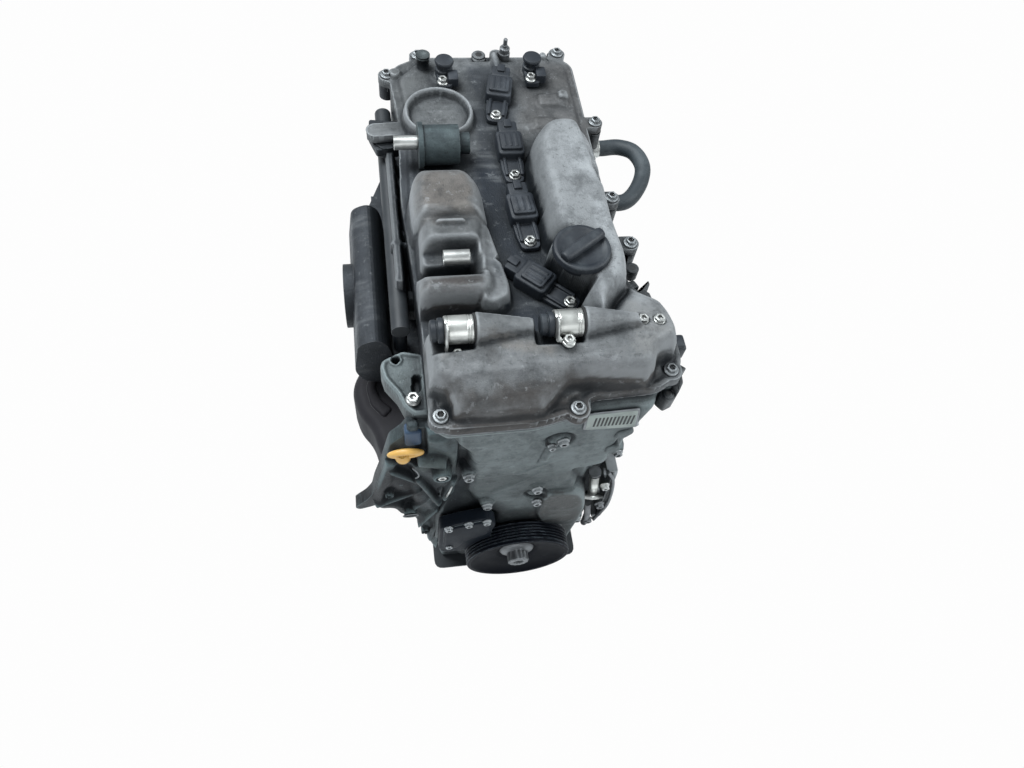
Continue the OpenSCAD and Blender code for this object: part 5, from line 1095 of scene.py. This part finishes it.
class ENGINE_OT_left(bpy.types.Operator):
    """Works out the shell, the tab, the lower casting and the head's flange on the left"""

    bl_idname = "engine.left"
    bl_label = "Left side"

    def execute(self, context):
        cell = context.scene.engine_sizes.case_cell
        shell = join_all("side_shell", [plate(SHELL, 150, 204, "dark shell paint", bevel=11, turns=9),
                                        plate(SHELL_LIP, 192, 207, "dark shell paint", bevel=3)])
        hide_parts("side_shield")
        arc = rounded_path([(-126, -484, 238), (-121, -486, 230), (-120, -486, 221), (-123, -484, 212)])
        eye = np.linspace(0, TURN, 28)
        ring = np.stack([-129 + 8 * np.cos(eye), -487 + 0 * eye, 115 + 3.4 * np.sin(eye)], -1)
        bracket = join_all("front_bracket_casting", [
            outlined("bracket_face", BRACKET, bracket_height, 458, 0.6 * cell, "front", "bracket alloy"),
            outlined("bracket_tab", TAB, tab_height, 288, 0.7 * cell, "top", "tab alloy"),
            bolt((*TAB_SCREW, 312), "z", 5.0), bolt((-97, -486, 222), "-y", 4.2),
            swept(arc, 0.8, "dull steel", sides=10),
            swept([(-92, -487.5, 161), (-88, -488, 178), (-85.5, -487, 190)], 1.0, "bright steel", sides=10),
            swept(ring, 0.8, "dull steel", sides=8)])
        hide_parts("front_bracket")
        join_all("blue_clip", [
            plate(oblong((-132, -475), (-116, -463), 4), 270, 296, "blue plastic", bevel=3),
            plate(oblong((-129, -473), (-119, -465), 3), 292, 304, "bracket alloy", bevel=2)])
        band = outlined("head_flange", BAND, band_height, 280, cell, "top", "head alloy")
        return {"FINISHED"}


class ENGINE_OT_dipstick(bpy.types.Operator):
    """Makes the dipstick's oval handle as a flattened ring, with its collar and blade"""

    bl_idname = "engine.dipstick"
    bl_label = "Dipstick"

    def execute(self, context):
        top, up = np.array((-134.0, -474.0, 245.0)), np.array((-30.0, -74.0, 265.0))
        up /= np.linalg.norm(up)
        across = np.array((1.0, 0.0, 0.0)) - up * up[0]
        across /= np.linalg.norm(across)
        u, v = np.meshgrid(np.linspace(0, TURN, 72, endpoint=False), np.linspace(0, TURN, 20, endpoint=False),
                           indexing="ij")
        reach = 1 - 0.27 * np.cos(v)
        wide, tall = 14 * np.cos(u) * reach, 15 + 9.5 * np.sin(u) * reach
        deep = 3.4 * np.sin(v) * (1 - 0.25 * np.cos(u) ** 2)
        points = top + (4, 0, 0) + sum(size[..., None] * way for size, way in (
            (wide, across), (tall, up), (deep, np.cross(up, across))))
        faces = grid_faces(72, 20, closed_rows=True).tolist()
        ring = new_object("ring", points.reshape(-1, 3), faces, "yellow plastic", "dipstick")
        collar = swept([top + up * s for s in (0.3, 1, 5, 8, 10)], [7, 8, 7.6, 6, 4], "yellow plastic", "dipstick", 28)
        blade = swept([top - up * 274, top - up * 100, top + up * 2], 3.0, "yellow plastic", "dipstick", 12)
        stick = join_all("dipstick_turned", [mended(ring), collar, blade])
        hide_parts("dipstick")
        return {"FINISHED"}


# ---- plates and clips


class ENGINE_OT_label(bpy.types.Operator):
    """Fixes the pale label plate, bare but for even bars, and two pale lines of painted highlight along the cover's
    front edge, at the gasket and on the flange
    """

    bl_idname = "engine.label"
    bl_label = "Label plate"

    def execute(self, context):
        outline, front = softened([(33, 297), (86, 295), (81, 331), (31, 328)], 3, 3), LABEL_FRONT
        inner = outline + (outline.mean(0) - outline) * 0.08
        join_all("label_plate", [
            plate(outline, front - 1.6, front, "dull steel", "front", 0.4),
            plate(inner, front - 1, front + 0.5, "label stock", "front", 0.3)] + [
            plate([(x, 304), (x + 1.8, 304), (x + 1.5, 321), (x - 0.3, 321)], front, front + 0.75, "label bars",
                  "front", 0.1) for x in 41 + 3.6 * np.arange(11)])

        # two thin pale lines follow the cover's front edge as painted highlights: a bead at the gasket and one along
        # the flange's upper edge
        xs, ys = np.linspace(-107, 121, 160), np.arange(-510, -400, 0.5)
        edge = ys[(cover_depth(*np.meshgrid(xs, ys, indexing="ij")) > 0).argmax(1)]
        join_all("gasket_bead", [
            swept(np.stack([xs, edge + back, COVER_Z + z + 0 * xs], -1), 0.75, finish, sides=8)
            for back, z, finish in ((0.2, -0.8, "dull steel"), (1.2, 8.2, "tab alloy"))])
        return {"FINISHED"}


class ENGINE_OT_coils(bpy.types.Operator):
    """Builds the four ignition coils with their ribs, hoods and bolted arms"""

    bl_idname = "engine.coils"
    bl_label = "Ignition coils"

    def execute(self, context):
        shapes = [  # outline, foot and top above the plateau, rounding: foot, ribs, head, lid, ridges, hood, latch
            (softened([(-9, -48), (9, -48), (12, -30), (12, -12), (-12, -12), (-12, -30)], 5), 0, 5, 1),
            (oblong((-9.5, -40), (-6.5, -14), 1), 4, 8, 0.6), (oblong((6.5, -40), (9.5, -14), 1), 4, 8, 0.6),
            (oblong((-14, -17), (14, 17), 5), 0, 14, 2), (oblong((-11, -13), (11, 11), 3), 13, 17.5, 1),
            *((oblong((x, -10), (x + 3, 8), 1), 17, 18.2, 0.4) for x in (-8, -2, 4)),
            (oblong((-10, 15), (10, 30), 2.5), 2, 14.5, 1), (oblong((-4, 20), (4, 31), 1), 14, 17, 0.6)]
        seat, parts = COVER_Z + PLATEAU_H, []
        for centre, degrees in COILS:
            a = math.radians(degrees)
            spin = np.array(((math.cos(a), math.sin(a)), (-math.sin(a), math.cos(a))))
            for outline, low, high, bevel in shapes:
                parts.append(plate(outline @ spin + (0, centre), seat + low, seat + high, "coil plastic", bevel=bevel))
            x, y = np.array((0, -40)) @ spin + (0, centre)
            parts += [turned("stem", [(POLE, -40), (11, -40), (11, 0), (POLE, 0)], "z", (0, centre, 0), "coil plastic",
                             sides=32, base=seat, crisp=0),
                      bolt((x, y, seat + 5), "z", 4.6, 5)]
        coils = join_all("ignition_coils_detailed", parts)
        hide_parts("ignition_coils")
        return {"FINISHED"}


# ---- the right side and the rear


def lug(outline, low, high, hole=None, ring=4.5, finish="head alloy", facing="top", bevel=1.5):
    """A small cast lug, with a raised ring round the mouth of its bolt hole and a black disc in the mouth as painted
    shade for the hole.
    """
    parts = [plate(outline, low, high, finish, facing, bevel)]
    if hole:
        parts += [plate(circle(hole, ring * 1.7), low, high + 2, finish, facing, 1),
                  plate(circle(hole, ring * 0.85), high, high + 2.2, "seal rubber", facing, 0.1)]
    return parts


EDGE_SCREWS = ((-84, -20), (-121, -52), (80, -17), (104, -133), (100, -245), (107, -306), *FRONT_SCREWS)
SHELF_SCREWS = ((-59, -379), (-78, -382))
SIDE_LUGS = (  # outline, foot and top above the cover's joint face, hole, ring
    (softened([(98, -296), (106, -298), (112, -309), (109, -321), (101, -328), (98, -322), (104, -316),
               (104, -306)], 3), -14, 0),
    (oblong((92, -337), (106, -325), 4), -12, -1, (106, -331), 4),
    (softened([(92, -346), (106, -343), (110, -352), (96, -356)], 2), -16, -3),
    (softened([(98, -362), (110, -356), (120, -345), (121, -349), (115, -360), (112, -368), (102, -368)], 1.5),
     -14, -2),
    (softened([(104, -374), (115, -358), (118, -360), (121, -380), (123, -398), (117, -392), (110, -384)], 2),
     -14, -2),
    (oblong((116, -402), (127, -388), 3), -16, -4, (122, -396), 3),
    (softened([(118, -440), (127, -440), (135, -447), (129, -452), (128, -462), (121, -472), (116, -466)], 1.5),
     -18, -5),
    (softened([(108, -462), (118, -464), (120, -474), (110, -478), (104, -470)], 2), -30, -12, (113, -470), 3))


class ENGINE_OT_bolts(bpy.types.Operator):
    """Puts a dished flange bolt with a sunk ring at every screw of the cam cover"""

    bl_idname = "engine.bolts"
    bl_label = "Cover bolts"

    def execute(self, context):
        head = [(POLE, -20), (3, -20), (3, 0), (7, 0), (7.2, 1), (6.6, 2), (5, 2.2), (5, 2.21), (5, 5), (4.4, 5.6),
                (3.2, 5.6), (2.9, 3), (POLE, 2.6)]
        hollow = [(POLE, 2), (2.7, 2), (2.7, 3.4), (POLE, 3.5)]
        parts = []
        for spots, seat in ((EDGE_SCREWS, COVER_Z + FLANGE_H), (SHELF_SCREWS, COVER_Z + PLATEAU_H)):
            for spot in spots:
                parts += [turned("head", head, "z", (*spot, 0), "grimy steel", sides=36, lobes=hexagon(2.205),
                                 base=seat, crisp=40),
                          # a black disc at the bottom of each head's socket: painted shade
                          turned("hollow", hollow, "z", (*spot, 0), "seal rubber", sides=18, base=seat, crisp=0)]
        parts += [bolt((*spot, COVER_Z + CONE_SEAT), "z", 4.2, 5) for spot in CONE_SCREWS]
        bolts = join_all("cover_bolts", parts)
        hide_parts("flange_bolts")
        return {"FINISHED"}


class ENGINE_OT_right(bpy.types.Operator):
    """Adds the lugs, the square plug and the bracket's fittings on the right, and the pump's cover"""

    bl_idname = "engine.right"
    bl_label = "Right side"

    def execute(self, context):
        z = COVER_Z
        join_all("side_lugs", [part for outline, low, high, *mouth in SIDE_LUGS
                               for part in lug(outline, z + low, z + high, *mouth)])
        join_all("square_plug", [
            plate(oblong((122, -427), (138, -413), 3), z - 24, z + 2, "black plastic", bevel=2.5),
            plate(oblong((130, -428.5), (139.5, -411.5), 3), z - 18, z - 2, "black plastic", bevel=1.5)])

        # lugs down the case's right edge, and the fittings on the steel bracket
        edge_lugs = join_all("case_edge_lugs", [
            part for points in ([(70, 286), (82, 290), (88, 282), (80, 270), (68, 272)],
                                [(66, 252), (78, 256), (82, 244), (74, 236), (66, 238)])
            for part in lug(softened(points, 4), 470, 487, finish="case alloy", facing="front", bevel=3)])
        x = box_mm("side_bracket")[1][0]
        strip = rounded_path([(x - 8, -474, 6), (x - 1, -474, 60), (x - 4, -468, 112), (x - 14, -464, 134)])
        fittings = join_all("bracket_fittings", [
            swept(strip, 2.6, "dull steel", sides=12, squash=(0.8, 1.2)),
            swept([(74, -474, 90), (86, -475, 86), (98, -474, 84)], 3.2, "bright steel"),
            swept([(84, -474, 66), (90, -475, 30), (92, -474, -4)], 4.2, "dull steel"),
            swept([(77, -470, 152), (80, -472, 128), (83, -474, 104)], 5.6, "nickel plate"),
            swept([(76.8, -470, 153.5), (77.6, -470.4, 148)], 7, "dull steel", sides=24),
            bolt((98, -476, 66), "-y", 4.4, finish="dull steel"), bolt((94, -474, 10), "-y", 4.4, finish="dull steel"),
            bolt((94, -474, 120), "-y", 4)])

        # the pump's cover: a lip round its edge, a crown and four screws
        edge = softened([(-98, 106), (-75, 116), (-45, 124), (-34, 100), (-38, 74), (-64, 56), (-78, 28), (-98, 30)], 6)
        front = -box_mm("water_pump")[0][1]
        parts = [plate(edge, front - 12, front + 1.5, "pump paint", "front", 1.5),
                 plate(edge + (edge.mean(0) - edge) * 0.16, front, front + 4, "pump paint", "front", 3)]
        parts += [bolt((x, -front - 1.5, z), "-y", 3.8, 4.5, "grimy steel")
                  for x, z in ((-88, 104), (-66, 112), (-46, 114), (-86, 44))]
        join_all("pump_cover_face", parts)
        return {"FINISHED"}


class ENGINE_OT_rear(bpy.types.Operator):
    """Builds the two cam sensors, the stud, the lugs and the vent at the cover's rear"""

    bl_idname = "engine.rear"
    bl_label = "Rear fittings"

    def execute(self, context):
        seat, parts = COVER_Z + PLATEAU_H, []
        for x, y in SENSORS:
            parts += [
                turned("sensor", [(POLE, -3), (9.2, -3), (9.6, 5), (9.6, 12), (8, 13), (8, 18), (10, 19), (10.6, 21),
                                  (9.6, 23), (5, 23.6), (POLE, 23.6)], "z", (x, y, 0), "black plastic", sides=48,
                       base=seat),
                plate(softened([(x - 8, y - 25), (x + 6, y - 25), (x + 11, y - 8), (x + 9, y + 5), (x - 9, y + 5)], 4),
                      seat + 2, seat + 8, "black plastic", bevel=1),
                plate(oblong((x + 3, y - 22), (x + 14, y - 6), 2), seat + 5, seat + 15, "coil plastic", bevel=1),
                bolt((x - 3, y - 18.5, seat + 8), "z", 4.4)]
        sensors = join_all("sensors_detailed", parts)
        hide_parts("cam_position_sensors")
        turned("rear_stud_fitted", [
            (POLE, 0), (6.5, 0), (6.5, 12), (5.8, 12.6), (5.8, 12.61), (5.8, 18), (5.2, 18.8), (2.9, 19), (2.9, 22),
            (2.4, 22.4), (2.4, 29), (1.6, 30), (POLE, 30)], "z", (14.5, -30, 0), "dull steel", sides=36,
            base=COVER_Z + 9)
        left = softened([(-144, -108), (-112, -112), (-112, -152), (-138, -156), (-146, -132)], 3)
        join_all("rear_lugs", lug(oblong((-22, -34), (-6, -16), 6), COVER_Z - 14, COVER_Z + 12, (-14, -24),
                                  finish="cover alloy")
                 + lug(left, COVER_Z - 12, COVER_Z - 3, (-132, -128), 4))
        join_all("vent", [swept([(-80, -44, seat + low), (-80, -44, seat + high)], radius, finish, sides=24)
                          for low, high, radius, finish in ((-4, 14, 7, "head alloy"), (13, 16, 8, "case alloy"))])
        return {"FINISHED"}


# ---- finishes of the CAD nodes

DEFAULT_FINISH = "dull steel"
NODE_FINISHES = {
    "head alloy": "camshaft_housing cylinder_head intake_manifold rocker_arms pistons",
    "case alloy": "timing_cover",
    "block alloy": "cylinder_block lower_crankcase rear_seal_housing water_outlet oil_pump",
    "bracket alloy": "front_bracket lift_actuator",
    "pump paint": "water_pump",
    "grimy steel": "side_bracket",
    "bright steel": "flange_bolts hose_nipples hose_clamps intake_camshaft exhaust_camshaft intake_valves "
                    "exhaust_valves wrist_pins",
    "nickel plate": "oil_control_valves",
    "dark iron": "main_bearing_caps exhaust_studs",
    "black pulley": "crank_pulley pump_rotor",
    "black steel": "oil_pan dipstick_tube fuel_rail oil_filter",
    "dark shell paint": "side_shield",
    "black plastic": "oil_filler_cap valve_plugs cam_position_sensors injectors chain_guide tensioner_arm",
    "coil plastic": "ignition_coils",
    "hose rubber": "bypass_hose",
    "seal rubber": "crank_seals cam_cover_gasket",
    "yellow plastic": "dipstick",
}


class ENGINE_OT_nodes(bpy.types.Operator):
    """Gives every CAD node its finish, with crisp edges shaded crisply"""

    bl_idname = "engine.nodes"
    bl_label = "Finishes"

    def execute(self, context):
        known = {node: finish for finish, nodes in NODE_FINISHES.items() for node in nodes.split()}
        for node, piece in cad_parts.items():
            dress(piece, known.get(node, DEFAULT_FINISH))
            piece.data.polygons.foreach_set("use_smooth", np.ones(len(piece.data.polygons), bool))
            sharpen(piece, 32)
        return {"FINISHED"}


# ---- stage

PAPER_WHITE = 0.985
FLOOR_HALF = 6.0


def paper(tree, kind, output):
    """Shows the camera an even white where other rays meet what the tree gave before."""
    target = tree.nodes[output].inputs["Surface"]
    glow, seen, pick = (tree.nodes.new(name) for name in (kind, "ShaderNodeLightPath", "ShaderNodeMixShader"))
    glow.inputs["Color"].default_value = (1, 1, 1, 1)
    glow.inputs["Strength"].default_value = PAPER_WHITE
    before = target.links[0].from_socket
    for number, source in enumerate((seen.outputs["Is Camera Ray"], before, glow.outputs[0])):
        tree.links.new(source, pick.inputs[number])
    tree.links.new(pick.outputs[0], target)


class ENGINE_OT_stage(bpy.types.Operator):
    """Sets up the pale floor, the soft lights and the camera"""

    bl_idname = "engine.stage"
    bl_label = "Studio"

    def execute(self, context):
        scene = context.scene
        mesh = bpy.data.meshes.new("floor")
        s, z = FLOOR_HALF, float(CAD_BOX[0][2])
        mesh.from_pydata([(-s, -s, z), (s, -s, z), (s, s, z), (-s, s, z)], [], [(0, 1, 2, 3)])
        floor = bpy.data.objects.new("floor", mesh)
        scene.collection.objects.link(floor)
        finish = bpy.data.materials.new("floor")
        finish.use_nodes = True
        shader = finish.node_tree.nodes["Principled BSDF"]
        shader.inputs["Base Color"].default_value = (0.9, 0.9, 0.9, 1)
        shader.inputs["Roughness"].default_value = 0.9
        paper(finish.node_tree, "ShaderNodeEmission", "Material Output")
        mesh.materials.append(finish)

        scene.world = bpy.data.worlds.new("studio")
        scene.world.use_nodes = True
        sky = scene.world.node_tree.nodes["Background"]
        sky.inputs["Color"].default_value = (0.9, 0.95, 1.0, 1)
        sky.inputs["Strength"].default_value = 0.4
        paper(scene.world.node_tree, "ShaderNodeBackground", "World Output")

        for name, place, aim, size, power, tint in (
                ("window", (-1.0, 0.5, 2.6), (0, -0.25, 0.2), 1.4, 95, (0.92, 0.97, 1.0)),
                ("fill", (1.8, -0.6, 1.8), (0, -0.3, 0.2), 1.2, 30, (0.93, 0.98, 1.0)),
                ("front", (-0.2, -2.4, 1.2), (0, -0.4, 0.15), 1.4, 9, (0.95, 0.98, 1.0))):
            light = bpy.data.lights.new(name, "AREA")
            light.energy, light.size, light.color = power, size, tint
            lamp = bpy.data.objects.new(name, light)
            lamp.location = place
            lamp.rotation_euler = (Vector(aim) - Vector(place)).to_track_quat("-Z", "Y").to_euler()
            scene.collection.objects.link(lamp)

        # the camera's own right, up and backward directions
        view = Matrix(((0.985, -0.138, 0.101), (0.070, 0.865, 0.497), (-0.156, -0.482, 0.862))).transposed()
        camera = bpy.data.cameras.new("camera")
        camera.sensor_width, camera.lens = 36, 27.42
        eye = bpy.data.objects.new("camera", camera)
        eye.matrix_world = Matrix.Translation((-0.143, -0.792, 0.941)) @ view.to_4x4()
        scene.collection.objects.link(eye)
        scene.camera = eye
        scene.view_settings.view_transform = "Standard"
        return {"FINISHED"}


# ---- panel and start


class ENGINE_PT_panel(bpy.types.Panel):
    """Sizes, colours and the building steps of the engine"""

    bl_idname = "ENGINE_PT_panel"
    bl_label = "Car engine"
    bl_space_type = "VIEW_3D"
    bl_region_type = "UI"
    bl_category = "Engine"

    def draw(self, context):
        for title, group in (("Sizes", context.scene.engine_sizes), ("Colours", context.scene.engine_colours)):
            self.layout.label(text=title)
            for key in group.bl_rna.properties.keys():
                if key not in ("rna_type", "name"):
                    self.layout.prop(group, key)
        for step in STEPS:
            self.layout.operator(step.bl_idname)


STEPS = (ENGINE_OT_nodes, ENGINE_OT_cover, ENGINE_OT_case, ENGINE_OT_pulley, ENGINE_OT_cap, ENGINE_OT_solenoids,
         ENGINE_OT_hose, ENGINE_OT_left, ENGINE_OT_dipstick, ENGINE_OT_label, ENGINE_OT_coils,
         ENGINE_OT_bolts, ENGINE_OT_right, ENGINE_OT_rear, ENGINE_OT_stage)
CLASSES = (EngineSizes, EngineColours, *STEPS, ENGINE_PT_panel)


def register():
    for item in CLASSES:
        bpy.utils.register_class(item)
    bpy.types.Scene.engine_sizes = bpy.props.PointerProperty(type=EngineSizes)
    bpy.types.Scene.engine_colours = bpy.props.PointerProperty(type=EngineColours)


def unregister():
    del bpy.types.Scene.engine_colours
    del bpy.types.Scene.engine_sizes
    for item in reversed(CLASSES):
        bpy.utils.unregister_class(item)


def main():
    """Registers the add-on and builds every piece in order."""
    register()
    for step in STEPS:
        group, action = step.bl_idname.split(".")
        getattr(getattr(bpy.ops, group), action)()


if __name__ == "__main__":
    main()
